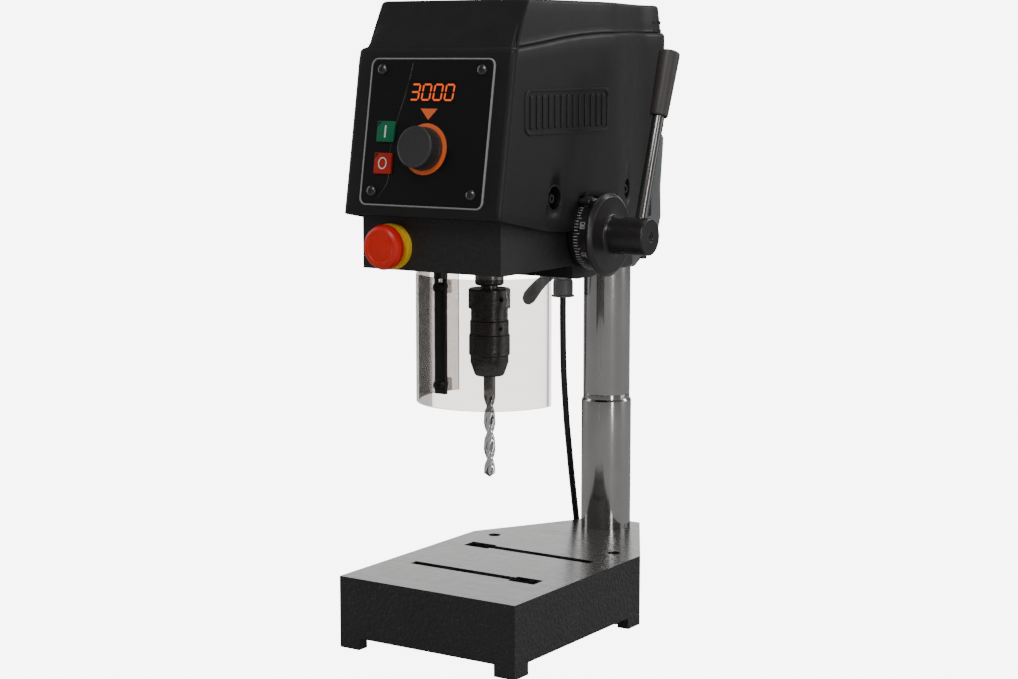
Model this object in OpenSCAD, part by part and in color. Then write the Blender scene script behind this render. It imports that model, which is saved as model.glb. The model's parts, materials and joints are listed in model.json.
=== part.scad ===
// Bench drill press: cast base, stepped column, sliding head with quill feed,
// keyless chuck, belt drive, swinging guard and control panel.
// Origin: middle of the two bench bolt holes, on the underside. Front is -Y.

/* [Base] */
// Width of the base casting
base_w = 192; // [180:1:235]
// Height of the base casting
base_h = 67; // [60:1:85]
// Distance from the bench bolts to the base's front face
base_front = 215; // [200:1:260]
// Distance behind the bench bolts where the rear corners start to taper
base_taper_y = 3.5; // [0:0.5:10]
// Distance from the bench bolts to the base's rear face
base_back = 128; // [120:1:150]
// Width of the base's rear face
base_back_w = 48; // [44:1:60]
// Thickness of the ground top
table_t = 20; // [18:1:28]
// Wall thickness of the base casting
base_wall = 12; // [9:1:15]
// Size of the square corner feet
foot = 22; // [18:1:26]
// Height of the arches between the feet
arch_h = 11; // [8:1:14]
// Distance between the two bench bolt holes
bolt_spacing = 138; // [130:1:150]
// Diameter of the bench bolt holes
bolt_hole_d = 12; // [10:0.5:13]

/* [T-slots] */
// Width of the slot's neck
slot_w = 10; // [8:0.5:12]
// Depth of the slot's neck
slot_neck = 7; // [5:0.5:8]
// Width of the undercut, and of the entry where a nut drops in
slot_under_w = 17; // [15:0.5:20]
// Height of the undercut
slot_under_h = 7; // [5:0.5:8]
// Length of each slot
slot_len = 140; // [120:1:150]
// Length of the widened entry
slot_entry = 28; // [22:1:34]
// Rear slot's distance in front of the bench bolts
slot_rear_y = 44; // [38:1:60]
// Front slot's distance in front of the bench bolts
slot_front_y = 136; // [110:1:150]

/* [Column] */
// Distance from the bench bolts back to the column's axis
column_y = 100; // [96:1:104]
// Diameter of the lower column
column_d = 50; // [46:1:54]
// Diameter of the upper column, which the head slides on
column_top_d = 47; // [42:1:50]
// Height where the column steps down
column_step_z = 199; // [190:1:215]
// Height of the column's top
column_top_z = 505; // [495:1:510]

/* [Head] */
// Distance from the spindle's axis to the column's axis
throat = 211; // [200:1:222]
// Height of the head's front underside at rest
head_z = 351; // [345:1:380]
// How much lower the head's rear underside hangs
head_drop = 11.5; // [9:0.5:13]
// Width of the head casting
casting_w = 148; // [140:1:154]
// Wall thickness of the head casting
casting_wall = 7; // [5:0.5:9]
// Depth of the casting's front face ahead of the spindle
nose_depth = 92.5; // [88:0.5:98]
// Width of the hood
cover_w = 168; // [162:1:180]
// Wall thickness of the hood
cover_t = 3; // [2:0.5:4]
// Height of the hood's top above the head's underside
cover_h = 237; // [232:1:245]

/* [Control panel] */
// Width of the panel plate
panel_w = 131; // [124:1:136]
// Height of the panel plate
panel_h = 130; // [124:1:134]
// Lean of the panel from the vertical
panel_lean = 9.7; // [8:0.1:12]
// Diameter of the speed knob
knob_d = 38; // [34:1:40]
// Length of the speed knob
knob_len = 18; // [14:1:22]
// Side of the square push buttons
button = 18.6; // [16:0.2:20]
// Travel of the push buttons
button_travel = 2; // [1:0.5:2.5]
// Diameter of the stop mushroom
mushroom_d = 40; // [36:1:42]
// Travel of the stop mushroom
mushroom_travel = 3.8; // [3:0.1:4]

/* [Feed] */
// Diameter of the feed hub's disc
disc_d = 76; // [72:1:82]
// Diameter of the feed hub
hub_d = 34; // [32:1:40]
// Diameter of the feed shaft
feed_shaft_d = 16; // [14:1:18]
// Diameter of the depth ring
depth_ring_d = 65; // [60:1:66]
// Length of the feed lever from the shaft's axis to the grip's end
lever_len = 173; // [150:1:185]
// Lean of the lever behind the vertical at rest
lever_lean = 18.5; // [0:0.5:25]
// Pinion module
gear_module = 1.5; // [1.5:0.1:1.6]
// Number of pinion teeth
pinion_teeth = 28; // [26:1:30]

/* [Spindle and chuck] */
// Diameter of the quill
quill_d = 48; // [46:1:50]
// Diameter of the quill's nose
quill_nose_d = 26.5; // [24:0.5:30]
// Diameter of the spindle at its neck
spindle_d = 15.4; // [15:0.1:16]
// Diameter of the chuck's fixed ring
chuck_d = 38.5; // [36:0.5:42]
// Length of the chuck
chuck_len = 80.6; // [78:0.2:86]
// Diameter of the drill bit
drill_d = 11; // [8:0.5:11]
// Length of the drill bit below the chuck
drill_len = 95.6; // [80:0.5:100]

/* [Guard] */
// Outer radius of the clear shield
guard_r = 67.5; // [64:0.5:75]
// Thickness of the clear shield
guard_t = 2.5; // [2:0.5:4]
// Height of the clear shield
guard_h = 118; // [100:1:120]

/* [Mains cable] */
// Diameter of the mains cable
cable_d = 6.5; // [6:0.1:8]

/* [Hidden] */

fn = 64;             // facets of round pieces
cut = 1;             // how far a cut runs past the face it opens
slide_gap = 0.05;    // radial running clearance of shafts and slides

// Places worked out from the driving sizes
spindle_y = column_y - throat;
casting_front = spindle_y - nose_depth;
rear_z = head_z - head_drop;
casting_r = casting_w / 2;
sleeve_y = column_y - 40;                 // joint face between casting and column sleeve
sleeve_half = 52;                         // half width of the casting at that face
casting_taper_y = column_y - 120;         // where the casting's sides start to taper
floor_t = 9;
step_y = column_y - 186;                  // where the underside steps down
post_r = 6;

pinion_r = gear_module * pinion_teeth / 2;
rack_x = quill_d / 2 - 1;                 // pitch line of the rack from the quill's axis
feed_y = spindle_y + rack_x + pinion_r;
feed_z = head_z + 28;
quill_z0 = head_z + 1;
quill_z1 = head_z + 139;
quill_travel = 55;
chuck_z1 = head_z - 22.5;                 // top of the chuck
chuck_z0 = chuck_z1 - chuck_len;          // bottom of the chuck
drill_z0 = chuck_z0 - drill_len;

plate_z = head_z + 161;                   // underside of the plate that carries the drive
plate_t = 10;
pulley_z = plate_z + 28;
motor_y = feed_y + 75;
motor_d = 84;
groove_h = 12;

panel_z = cover_front_z() + 8.6;          // lower edge of the panel
cover_r = cover_w / 2;
cover_top = head_z + cover_h;
cover_step = 4;                           // how far the hood's cap is set in
shoulder_z = cover_top - 42;              // height of the hood's shoulder at the front
console_y = casting_front - 17.2;         // hood's front at its lower edge
cover_rear_r = 56;
guard_z1 = head_z - 8;
pivot = [-guard_r + 10.5, spindle_y + 3.4];
mushroom = [-40.5, head_z + 21];
knob_at = [1, 50.5];
start_at = [-43, 65];
stop_at = [-43, 37];
display_at = [2, 100.7];
gland = [-42, column_y - 16];
lever_x = casting_r + 57;
disc_x = casting_r + 23;
disc_t = 7;
hub_end = casting_r + 70;
ring_x = casting_r + 2;
cup_x = -casting_r;
cup_d = 68;
pointer_at = [feed_y - 21, feed_z + 31];

function cover_front_z() = head_z + 49.4;
function lean_y(z) = console_y + (z - cover_front_z()) * tan(panel_lean);

// Cable route: straight down out of the gland, behind the base, then along the floor
cable_route = [
    [-42, 84, 299], [-42, 84, 280], [-42, 84.5, 258], [-42.5, 86, 236], [-43, 88.5, 213],
    [-43.5, 92, 190], [-44, 96, 166], [-44.5, 101, 142], [-45, 106, 118], [-45.5, 111.5, 94],
    [-46, 117, 71], [-46.5, 122, 50], [-47, 128, 31], [-47.5, 137, 15.5], [-48, 148.5, 6.2],
    [-48, 160, 3.5], [-48, 172, 3.3]
];
coil_r = 36;
coil_outer = coil_r + cable_d;            // middle of the outermost turn
route_end = cable_route[len(cable_route) - 1];
coil_at = [route_end[0] - coil_outer, route_end[1]];
coil_w = 3.4 * cable_d;                   // three loose turns wide
coil_h = 2 * cable_d;                     // two layers
plug_at = [coil_at[0] - coil_outer, coil_at[1] - 22];  // where the cable enters the plug

// ---- helpers -------------------------------------------------------------

module rod_z(d, z0, z1, at = [0, 0]) {
    translate([at[0], at[1], z0]) cylinder(d = d, h = z1 - z0, $fn = fn);
}

module rod_x(d, x0, x1, y, z) {
    translate([x0, y, z]) rotate([0, 90, 0]) cylinder(d = d, h = x1 - x0, $fn = fn);
}

module rod_y(d, y0, y1, x, z) {
    translate([x, y1, z]) rotate([90, 0, 0]) cylinder(d = d, h = y1 - y0, $fn = fn);
}

module block(lo, hi) {
    translate(lo) cube(hi - lo);
}

module ring_z(d_out, d_in, z0, z1, at = [0, 0]) {
    difference() {
        rod_z(d_out, z0, z1, at);
        rod_z(d_in, z0 - cut, z1 + cut, at);
    }
}

module rounded_plate(w, h, r, t) {
    linear_extrude(t) union() {
        square([w - 2 * r, h], center = true);
        square([w, h - 2 * r], center = true);
        for (sx = [-1, 1], sy = [-1, 1])
            translate([sx * (w / 2 - r), sy * (h / 2 - r)]) circle(r = r, $fn = 32);
    }
}

// Frame of the leaning panel: x to the right, y up the panel, z out of it
module on_panel(at = [0, 0], out = 0) {
    translate([0, lean_y(panel_z), panel_z]) rotate([90 - panel_lean, 0, 0])
        translate([at[0], at[1], out]) children();
}

// Socket-head screw along +z with its head's top at the origin
module cap_screw(d, len) {
    head_h = d;
    difference() {
        translate([0, 0, -head_h]) cylinder(d = 1.6 * d, h = head_h, $fn = 32);
        translate([0, 0, -head_h / 2]) cylinder(d = 0.95 * d, h = d, $fn = 6);
    }
    translate([0, 0, -head_h - len]) cylinder(d = d, h = len, $fn = 32);
}

// ---- base ----------------------------------------------------------------

function base_outline(inset = 0) = [
    [-base_w / 2 + inset, -base_front + inset], [base_w / 2 - inset, -base_front + inset],
    [base_w / 2 - inset, base_taper_y - inset / 2], [base_back_w / 2 - inset / 2, base_back - inset],
    [-base_back_w / 2 + inset / 2, base_back - inset], [-base_w / 2 + inset, base_taper_y - inset / 2]
];

module t_slot(y, entry_side) {
    block([-slot_len / 2, y - slot_w / 2, base_h - slot_neck - cut],
          [slot_len / 2, y + slot_w / 2, base_h + cut]);
    block([-slot_len / 2, y - slot_under_w / 2, base_h - slot_neck - slot_under_h],
          [slot_len / 2, y + slot_under_w / 2, base_h - slot_neck]);
    entry_x = entry_side * (slot_len - slot_entry) / 2;
    block([entry_x - slot_entry / 2, y - slot_under_w / 2, base_h - slot_neck - cut],
          [entry_x + slot_entry / 2, y + slot_under_w / 2, base_h + cut]);
}

module base_casting() {
    socket_r = column_d / 2 + 11;
    color("#4a4a4b") difference() {
        union() {
            difference() {
                linear_extrude(base_h) polygon(base_outline());
                translate([0, 0, -cut]) linear_extrude(base_h - table_t + cut)
                    polygon(base_outline(base_wall));
            }
            intersection() {
                union() {
                    rod_z(2 * socket_r, 0, base_h - table_t, [0, column_y]);
                    for (s = [-1, 1]) rod_z(bolt_hole_d + 14, 0, base_h - table_t,
                                            [s * bolt_spacing / 2, 0]);
                }
                linear_extrude(base_h) polygon(base_outline());
            }
        }
        rod_z(column_d, -cut, base_h + cut, [0, column_y]);
        for (s = [-1, 1]) rod_z(bolt_hole_d, -cut, base_h + cut, [s * bolt_spacing / 2, 0]);
        t_slot(-slot_rear_y, -1);
        t_slot(-slot_front_y, 1);
        block([-base_w / 2 + foot, -base_front - cut, -cut],
              [base_w / 2 - foot, -base_front + base_wall + cut, arch_h]);
        for (s = [-1, 1]) translate([s * base_w / 2, 0, 0])
            block([-base_wall - cut, -base_front + foot, -cut],
                  [base_wall + cut, base_taper_y - foot, arch_h]);
        rod_x(8, -base_w / 2, base_w / 2, column_y, base_h / 2);
    }
}

module column() {
    color("#b9b9ba") difference() {
        union() {
            rod_z(column_d, 6, column_step_z - 2, [0, column_y]);
            translate([0, column_y, column_step_z - 2])
                cylinder(d1 = column_d, d2 = column_top_d, h = 2, $fn = fn);
            rod_z(column_top_d, column_step_z, column_top_z, [0, column_y]);
        }
        rod_z(column_top_d - 14, 5, column_top_z + cut, [0, column_y]);
        translate([0, column_y, column_step_z + 4]) difference() {
            cylinder(d = column_top_d + 4, h = 0.8, $fn = fn);
            cylinder(d = column_top_d - 0.8, h = 0.8, $fn = fn);
        }
    }
}

module column_screws() {
    r = column_d / 2;
    color("#2a2a2b") for (x = [r, -r - 9]) rod_x(7.9, x, x + 9, column_y, base_h / 2);
}

// ---- mains cable ---------------------------------------------------------

function unit(v) = v / norm(v);
function heading(p, i) = unit(p[min(i + 1, len(p) - 1)] - p[max(i - 1, 0)]);
// sideways vectors carried along the route, so that the tube never twists
function frames(p, i = 0, side = [1, 0, 0]) =
    let (t = heading(p, i), s = unit(side - (side * t) * t))
    i == len(p) - 1 ? [[s, cross(t, s)]] : concat([[s, cross(t, s)]], frames(p, i + 1, s));
function ring_points(c, f, r, sides) =
    [for (k = [0:sides - 1]) c + r * (cos(360 * k / sides) * f[0] + sin(360 * k / sides) * f[1])];

module tube(path, d, sides = 10) {
    f = frames(path);
    points = [for (i = [0:len(path) - 1]) each ring_points(path[i], f[i], d / 2, sides)];
    walls = [for (i = [0:len(path) - 2], k = [0:sides - 1])
        [i * sides + k, i * sides + (k + 1) % sides,
         (i + 1) * sides + (k + 1) % sides, (i + 1) * sides + k]];
    caps = [[for (k = [0:sides - 1]) sides - 1 - k],
            [for (k = [0:sides - 1]) (len(path) - 1) * sides + k]];
    polyhedron(points = points, faces = concat([for (w = walls) [w[3], w[2], w[1], w[0]]],
        [for (c = caps) [for (k = [sides - 1:-1:0]) c[k]]]), convexity = 6);
}

module mains_cable() {
    color("#17181a") tube(cable_route, cable_d);
}

module cable_coil() {
    color("#17181a") translate([coil_at[0], coil_at[1], 0]) rotate_extrude($fn = 48)
        translate([coil_r - coil_w / 2, 0]) square([coil_w, coil_h]);
}

module mains_plug() {
    body_r = 13;
    color("#1d1e20") translate([plug_at[0], plug_at[1], body_r]) rotate([90, 0, 0]) {
        cylinder(d1 = cable_d + 5, d2 = 2 * body_r, h = 18, $fn = fn);
        translate([0, 0, 18]) cylinder(r = body_r, h = 18, $fn = fn);
        for (s = [-1, 1]) translate([s * 6.5, 0, 36]) cylinder(d = 4.8, h = 19, $fn = 24);
    }
}

// ---- head structure ------------------------------------------------------

function casting_outline(inset = 0) = [
    [-casting_r + inset, casting_front + inset], [casting_r - inset, casting_front + inset],
    [casting_r - inset, casting_taper_y - inset / 3], [sleeve_half - inset, sleeve_y - inset],
    [-sleeve_half + inset, sleeve_y - inset], [-casting_r + inset, casting_taper_y - inset / 3]
];

screw_front = [spindle_y - 22, head_z + 63.6];
screw_rear = [casting_taper_y + 33, head_z + 64.4];
lug_rear_x = casting_r - 10;

module casting_shell() {
    wall_top = cover_front_z() - 2;
    floor_top = head_z + floor_t;
    difference() {
        union() {
            difference() {
                translate([0, 0, rear_z]) linear_extrude(wall_top - rear_z)
                    polygon(casting_outline());
                translate([0, 0, floor_top]) linear_extrude(wall_top)
                    polygon(casting_outline(casting_wall));
            }
            for (s = [-1, 1]) {
                block([s > 0 ? casting_r - 16 : -casting_r, screw_front[0] - 10, floor_top - cut],
                      [s > 0 ? casting_r : -casting_r + 16, screw_front[0] + 10, screw_front[1] + 11]);
                block([s > 0 ? 46 : -lug_rear_x, screw_rear[0] - 8, floor_top - cut],
                      [s > 0 ? lug_rear_x : -46, screw_rear[0] + 8, screw_rear[1] + 11]);
            }
        }
        block([-casting_w, casting_front - cut, rear_z - cut], [casting_w, step_y, head_z]);
        block([-sleeve_half + 14, step_y + 6, rear_z + 8],
              [sleeve_half - 14, sleeve_y - casting_wall, floor_top + cut]);
    }
}

module head_casting() {
    boss_d = quill_d + 18;
    color("#262627") difference() {
        union() {
            casting_shell();
            rod_z(boss_d, head_z, head_z + 89, [0, spindle_y]);
            for (s = [-1, 1]) rod_x(feed_shaft_d + 26, s > 0 ? casting_r - 18 : -casting_r + 1,
                                    s > 0 ? casting_r - 1 : -casting_r + 18, feed_y, feed_z);
            for (p = post_places()) rod_z(2 * post_r + 6, head_z, cover_front_z() - 2, p);
            block([casting_r - 8, pointer_at[0] - 8, head_z + 2],
                  [casting_r, pointer_at[0] + 8, pointer_at[1] + 7]);
        }
        rod_z(quill_d + 2 * slide_gap, head_z - cut, head_z + 90, [0, spindle_y]);
        rod_x(feed_shaft_d + 8, -casting_w, casting_w, feed_y, feed_z);
        block([-13, spindle_y + 10, feed_z - 26], [13, feed_y + 25, feed_z + 26]);
        rod_y(22, casting_front - cut, casting_front + casting_wall + cut, mushroom[0], mushroom[1]);
        for (p = post_places()) rod_z(8, head_z + 20, cover_front_z(), p);
        for (s = [-1, 1]) {
            rod_x(5, s > 0 ? casting_r - 15 : -casting_r - cut,
                  s > 0 ? casting_r + cut : -casting_r + 15, screw_front[0], screw_front[1]);
            rod_x(5, s > 0 ? lug_rear_x - 15 : -lug_rear_x - cut,
                  s > 0 ? lug_rear_x + cut : -lug_rear_x + 15, screw_rear[0], screw_rear[1]);
        }
        for (p = sleeve_bolt_places())
            rod_y(8, sleeve_y - casting_wall - cut, sleeve_y + cut, p[0], p[1]);
    }
}

function post_places() = [for (s = [-1, 1]) each [[s * 56, spindle_y - 42], [s * 48, sleeve_y - 30]]];
function sleeve_bolt_places() = [for (s = [-1, 1], z = [cover_front_z() - 14, head_z + 17]) [s * 31, z]];

module column_sleeve() {
    h = 111;                  // height of the satin housing above the head's underside
    color("#8b8f92") difference() {
        intersection() {
            union() {
              translate([0, column_y, head_z]) rotate_extrude($fn = 96) polygon([
                [0, -19], [28, -19], [34, -11], [43, -6], [51, 20], [53, 30], [52.5, 60],
                [54.6, 98], [55, h - 3], [53.5, h], [36, h], [36, 189], [0, 189]]);
              rod_z(26, rear_z, head_z + 10, gland);
              block([clamp_at[0] - 9, sleeve_y, clamp_at[1] - 9],
                    [clamp_at[0] + 9, sleeve_y + 18, head_z - 4]);
            }
            block([-70, sleeve_y, 0], [70, column_y + 70, head_z + 200]);
        }
        rod_z(column_top_d + 2 * slide_gap, head_z - 30, head_z + 200, [0, column_y]);
        rod_z(24, 0, rear_z, gland);
        rod_z(13, rear_z - cut, head_z + 20, gland);
        for (p = sleeve_bolt_places()) rod_y(8, sleeve_y - cut, sleeve_y + 14, p[0], p[1]);
        rod_y(8.2, sleeve_y - cut, sleeve_y + 16, clamp_at[0], clamp_at[1]);
        rod_z(hex_pocket, head_z - 20, hex_seat, hex_at);
    }
}

clamp_at = [-20, head_z - 21];
hex_at = [36, column_y + 8];
hex_seat = head_z - 4;
hex_pocket = 10.4;

module sleeve_bolts() {
    color("#1f1f20") {
        for (p = sleeve_bolt_places())
            translate([p[0], sleeve_y - casting_wall - 7.9, p[1]]) rotate([90, 0, 0]) cap_screw(7.9, 18);
        translate([hex_at[0], hex_at[1], hex_seat - 7]) cylinder(d = 9.4, h = 7, $fn = 6);
    }
}

// Side profile of the hood, as [y, z], set in by a wall
function cover_profile(inset, top, low) = [
    [lean_y(low) + inset, low],
    [lean_y(shoulder_z) + inset, shoulder_z - inset],
    [lean_y(shoulder_z) + 9.5 + inset, shoulder_z + 5 - inset],
    [lean_y(shoulder_z) + 31 + inset, top - inset],
    [column_y + cover_rear_r - 4 - inset, top - inset],
    [column_y + cover_rear_r - inset, shoulder_z + 17],
    [column_y + cover_rear_r - inset, low]
];

function cover_plan(half, rear_r, inset) = concat(
    [[-half + inset, -400], [half - inset, -400], [half - inset, column_y - 125]],
    [for (a = [20:-10:-200]) [(rear_r - inset) * cos(a), column_y - (rear_r - inset) * sin(a)]],
    [[-half + inset, column_y - 125]]
);

module cover_body(inset, low) {
    intersection() {
        rotate([90, 0, 90]) translate([0, 0, -cover_w]) linear_extrude(2 * cover_w)
            polygon(cover_profile(inset, cover_top, low));
        union() {
            linear_extrude(shoulder_z + 8) polygon(cover_plan(cover_r, cover_rear_r, inset));
            linear_extrude(cover_top + cut)
                polygon(cover_plan(cover_r - cover_step, cover_rear_r - cover_step, inset));
        }
    }
}

module cover_cups(d, out) {
    for (s = [-1, 1]) {
        rod_x(d, s > 0 ? casting_r + 0.2 + out : -cover_r, s > 0 ? cover_r : -casting_r - 0.2 - out,
              screw_front[0], screw_front[1]);
        rod_x(d, s > 0 ? lug_rear_x + 0.2 + out : -cover_r + 5, s > 0 ? cover_r - 5 : -lug_rear_x - 0.2 - out,
              screw_rear[0], screw_rear[1]);
    }
}

module head_cover() {
    low = head_z + 33;
    front_low = cover_front_z();
    sleeve_top = head_z + 119;
    color("#232324") difference() {
        union() {
            difference() {
                cover_body(0, low);
                cover_body(cover_t, low - 10);
            }
            intersection() {
                cover_cups(26, 0);
                cover_body(0, low);
            }
            // lip that closes the console's underside
            difference() {
                intersection() {
                    cover_body(0, low);
                    block([-cover_w, console_y - 20, front_low], [cover_w, casting_front + 8, front_low + cover_t]);
                }
                linear_extrude(cover_top) polygon(casting_outline(-0.5));
            }
        }
        // lower edge: level at the console, then sloping down to the rear
        rotate([90, 0, 90]) translate([0, 0, -cover_w]) linear_extrude(2 * cover_w) polygon([
            [-400, 0], [-400, front_low], [spindle_y - 108, front_low],
            [spindle_y - 32, low + 2.5], [spindle_y - 4, low], [column_y - 25, low],
            [column_y - 25, sleeve_top], [column_y + 100, sleeve_top], [column_y + 100, 0]]);
        cover_cups(22, 2);
        cover_cups(6, -20);
        rod_x(depth_ring_d + 3, casting_r - 1, cover_w, feed_y, feed_z);
        rod_x(9, casting_r - 1, cover_w, pointer_at[0], pointer_at[1]);
        rod_x(cup_d + 3, -cover_w, -casting_r + 1, feed_y, feed_z);
        on_panel([0, panel_h / 2], -2) rounded_plate(panel_w + 0.6, panel_h + 0.6, 6, 10);
        on_panel([0, panel_h / 2], -10) rounded_plate(panel_w - 22, panel_h - 22, 4, 12);
        for (p = panel_screw_places()) on_panel(p, -12) cylinder(d = 4, h = 12, $fn = 32);
    }
}

module cover_screws() {
    color("#111112") for (s = [-1, 1]) {
        translate([s * (casting_r + 2.2 + 5), screw_front[0], screw_front[1]])
            rotate([0, s * 90, 0]) cap_screw(4.9, 14);
        translate([s * (lug_rear_x + 2.2 + 5), screw_rear[0], screw_rear[1]])
            rotate([0, s * 90, 0]) cap_screw(4.9, 14);
    }
}

// A plain rounded bar with ribs on each side, in place of any lettering
badge_len = 140;
badge_h = 40;
badge_ribs = 6;

module side_badges() {
    color("#2b2b2c") for (s = [-1, 1])
        translate([s * cover_r, spindle_y, shoulder_z - 55]) rotate([90, 0, s * 90]) {
            rounded_plate(badge_len, badge_h, 6, 1);
            for (k = [-badge_ribs:badge_ribs]) translate([k * badge_len / (2 * badge_ribs + 2), 0, 1])
                rounded_plate(4, badge_h - 10, 1.8, 0.8);
        }
}

// ---- control panel -------------------------------------------------------

function panel_screw_places() = [for (sx = [-1, 1], y = [12.5, panel_h - 10]) [sx * (panel_w / 2 - 12.5), y]];

module panel_plate() {
    color("#121213") difference() {
        on_panel([0, panel_h / 2], -2) rounded_plate(panel_w, panel_h, 6, 3);
        for (b = [start_at, stop_at]) on_panel(b, -4)
            linear_extrude(10) square(button + 1.2, center = true);
        on_panel(display_at, -4) linear_extrude(10) square([54, 20], center = true);
        on_panel(knob_at, -4) cylinder(d = 10, h = 10, $fn = 32);
        for (p = panel_screw_places()) on_panel(p, -4) cylinder(d = 4.2, h = 10, $fn = 32);
    }
}

module panel_screws() {
    color("#1c1c1d") for (p = panel_screw_places()) on_panel(p, 0) {
        difference() {
            translate([0, 0, 1]) cylinder(d = 9, h = 2.4, $fn = 32);
            for (a = [0, 90]) rotate(a) translate([-2.5, -0.6, 2]) cube([5, 1.2, 3]);
        }
        translate([0, 0, -9]) cylinder(d = 3.9, h = 10, $fn = 24);
    }
}

module display_module() {
    color("#1a0f0b") {
        on_panel(display_at, -12) linear_extrude(12.6) square([53.4, 19.4], center = true);
    }
}

module knob_ring() {
    color("#e8642a") on_panel(knob_at, 1) difference() {
        cylinder(d = 45, h = 0.8, $fn = fn);
        translate([0, 0, -cut]) cylinder(d = 12, h = 4, $fn = fn);
    }
}

module control_board() {
    color("#1f5c3a") {
        on_panel([0, 63], -25) linear_extrude(1.6) square([104, 104], center = true);
        for (b = [start_at, stop_at]) on_panel(b, -23.4) linear_extrude(14) square(14, center = true);
        on_panel([34, 34], -23.4) linear_extrude(9) square([24, 16], center = true);
        on_panel([36, 78], -23.4) linear_extrude(6) square([16, 22], center = true);
        on_panel([0, 100.7], -23.4) linear_extrude(11.4) square([40, 12], center = true);
    }
}

pot_shaft = 6;

module potentiometer() {
    color("#6d6d70") {
        on_panel(knob_at, -20) cylinder(d = 24, h = 16, $fn = fn);
        on_panel(knob_at, -4) cylinder(d = 8, h = 5, $fn = 32);
        on_panel(knob_at, 1) cylinder(d = pot_shaft, h = 8, $fn = 32);
    }
}

module speed_knob() {
    color("#2c2c2e") on_panel(knob_at, 0) difference() {
        union() {
            translate([0, 0, 2.2]) cylinder(d = knob_d - 1, h = knob_len - 4.2, $fn = 96);
            translate([0, 0, knob_len - 2]) cylinder(d1 = knob_d - 1, d2 = knob_d - 5, h = 2, $fn = 96);
            translate([0, 0, 2.2]) cylinder(d = knob_d, h = 4, $fn = 96);
        }
        translate([0, 0, 2]) cylinder(d = pot_shaft + 2 * slide_gap, h = 7.5, $fn = 32);
    }
}

module square_button(at) {
    on_panel(at, -7) linear_extrude(9.5 + 0.4) square(button - 0.2, center = true);
}

module start_button() { color("#0f7a52") square_button(start_at); }

module stop_button() { color("#c9372c") square_button(stop_at); }

module estop_body() {
    color("#d9b21f") {
        difference() {
            rod_y(41, casting_front - 5.5, casting_front, mushroom[0], mushroom[1]);
            rod_y(17, casting_front - 7, casting_front + cut, mushroom[0], mushroom[1]);
        }
        difference() {
            rod_y(21.6, casting_front, casting_front + 14, mushroom[0], mushroom[1]);
            rod_y(17, casting_front - cut, casting_front + 14 + cut, mushroom[0], mushroom[1]);
        }
        block([mushroom[0] - 15, casting_front + 14, mushroom[1] - 9.8],
              [mushroom[0] + 15, casting_front + 38, mushroom[1] + 15]);
    }
}

module estop_head() {
    color("#d0382b") translate([mushroom[0], casting_front, mushroom[1]]) rotate([90, 0, 0])
        rotate_extrude($fn = 96) polygon([
            [0, -8], [8, -8], [8, 9.7], [mushroom_d / 2 - 2, 9.7], [mushroom_d / 2, 11.5],
            [mushroom_d / 2, 15.5], [mushroom_d / 2 - 1.5, 18.5], [mushroom_d / 2 - 6, 20.2],
            [0, 21]]);
}

module cable_gland() {
    color("#4b4d50") difference() {
        union() {
            rod_z(19.4, gland_bottom + 2.5, rear_z, gland);
            rod_z(23, gland_bottom, gland_bottom + 2.6, gland);
            rod_z(12.8, rear_z - cut, rear_z + 14, gland);
        }
        rod_z(cable_d + 0.4, gland_bottom + 0.6, rear_z + 20, gland);
    }
}

gland_bottom = 299;

// ---- drive ---------------------------------------------------------------

module top_plate() {
    color("#a9acae") difference() {
        translate([0, 0, plate_z]) linear_extrude(plate_t) polygon([
            [-64, spindle_y - 52], [64, spindle_y - 52], [64, casting_taper_y], [49, sleeve_y - 6],
            [-49, sleeve_y - 6], [-64, casting_taper_y]]);
        rod_z(42, plate_z - cut, plate_z + plate_t + cut, [0, spindle_y]);
        rod_z(24, plate_z - cut, plate_z + plate_t + cut, [0, motor_y]);
        for (p = post_places()) rod_z(6, plate_z - cut, plate_z + plate_t + cut, p);
        for (a = [45:90:315]) rod_z(5.2, plate_z - cut, plate_z + plate_t + cut, motor_screw_at(a));
    }
}

module plate_posts() {
    color("#8f9295") for (p = post_places()) {
        rod_z(2 * post_r, cover_front_z() - 2, plate_z, p);
        rod_z(7.9, head_z + 24, cover_front_z() - 2, p);
        rod_z(5.9, plate_z, plate_z + plate_t + 4, p);
    }
}

function motor_screw_at(a) = [30 * cos(a), motor_y + 30 * sin(a)];

module motor_body() {
    color("#5d6063") difference() {
        rod_z(motor_d, head_z + 34, plate_z, [0, motor_y]);
        rod_z(44, head_z + 46, plate_z - 12, [0, motor_y]);
        rod_z(14 + 2 * slide_gap, head_z + 40, plate_z + cut, [0, motor_y]);
        for (a = [45:90:315]) rod_z(5, plate_z - 10, plate_z + cut, motor_screw_at(a));
    }
}

module motor_screws() {
    color("#1f1f20") for (a = [45:90:315])
        translate([motor_screw_at(a)[0], motor_screw_at(a)[1], plate_z + plate_t + 5]) cap_screw(4.9, 18);
}

module motor_rotor() {
    color("#9a9a9c") {
        rod_z(14, head_z + 41, pulley_z + 24, [0, motor_y]);
        rod_z(42, head_z + 52, plate_z - 18, [0, motor_y]);
    }
}

// Grooved pulley with a plain flange above and below the belt's groove
module pulley(groove_d, flange_d, bore_d, at) {
    difference() {
        union() {
            rod_z(flange_d, pulley_z, pulley_z + 5, at);
            rod_z(groove_d, pulley_z + 4, pulley_z + 5 + groove_h, at);
            rod_z(flange_d, pulley_z + 4 + groove_h, pulley_z + 9 + groove_h, at);
            children();
        }
        rod_z(bore_d, plate_z - 20, pulley_z + 60, at);
    }
}

big_groove = 52;
small_groove = 35;

module spindle_pulley() {
    color("#aeb1b3") pulley(big_groove, 62, 2 * (7 + slide_gap), [0, spindle_y]) {
        rod_z(20, plate_z - 8, pulley_z, [0, spindle_y]);
        rod_z(26, plate_z + plate_t + 3, pulley_z, [0, spindle_y]);
    }
}

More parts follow.
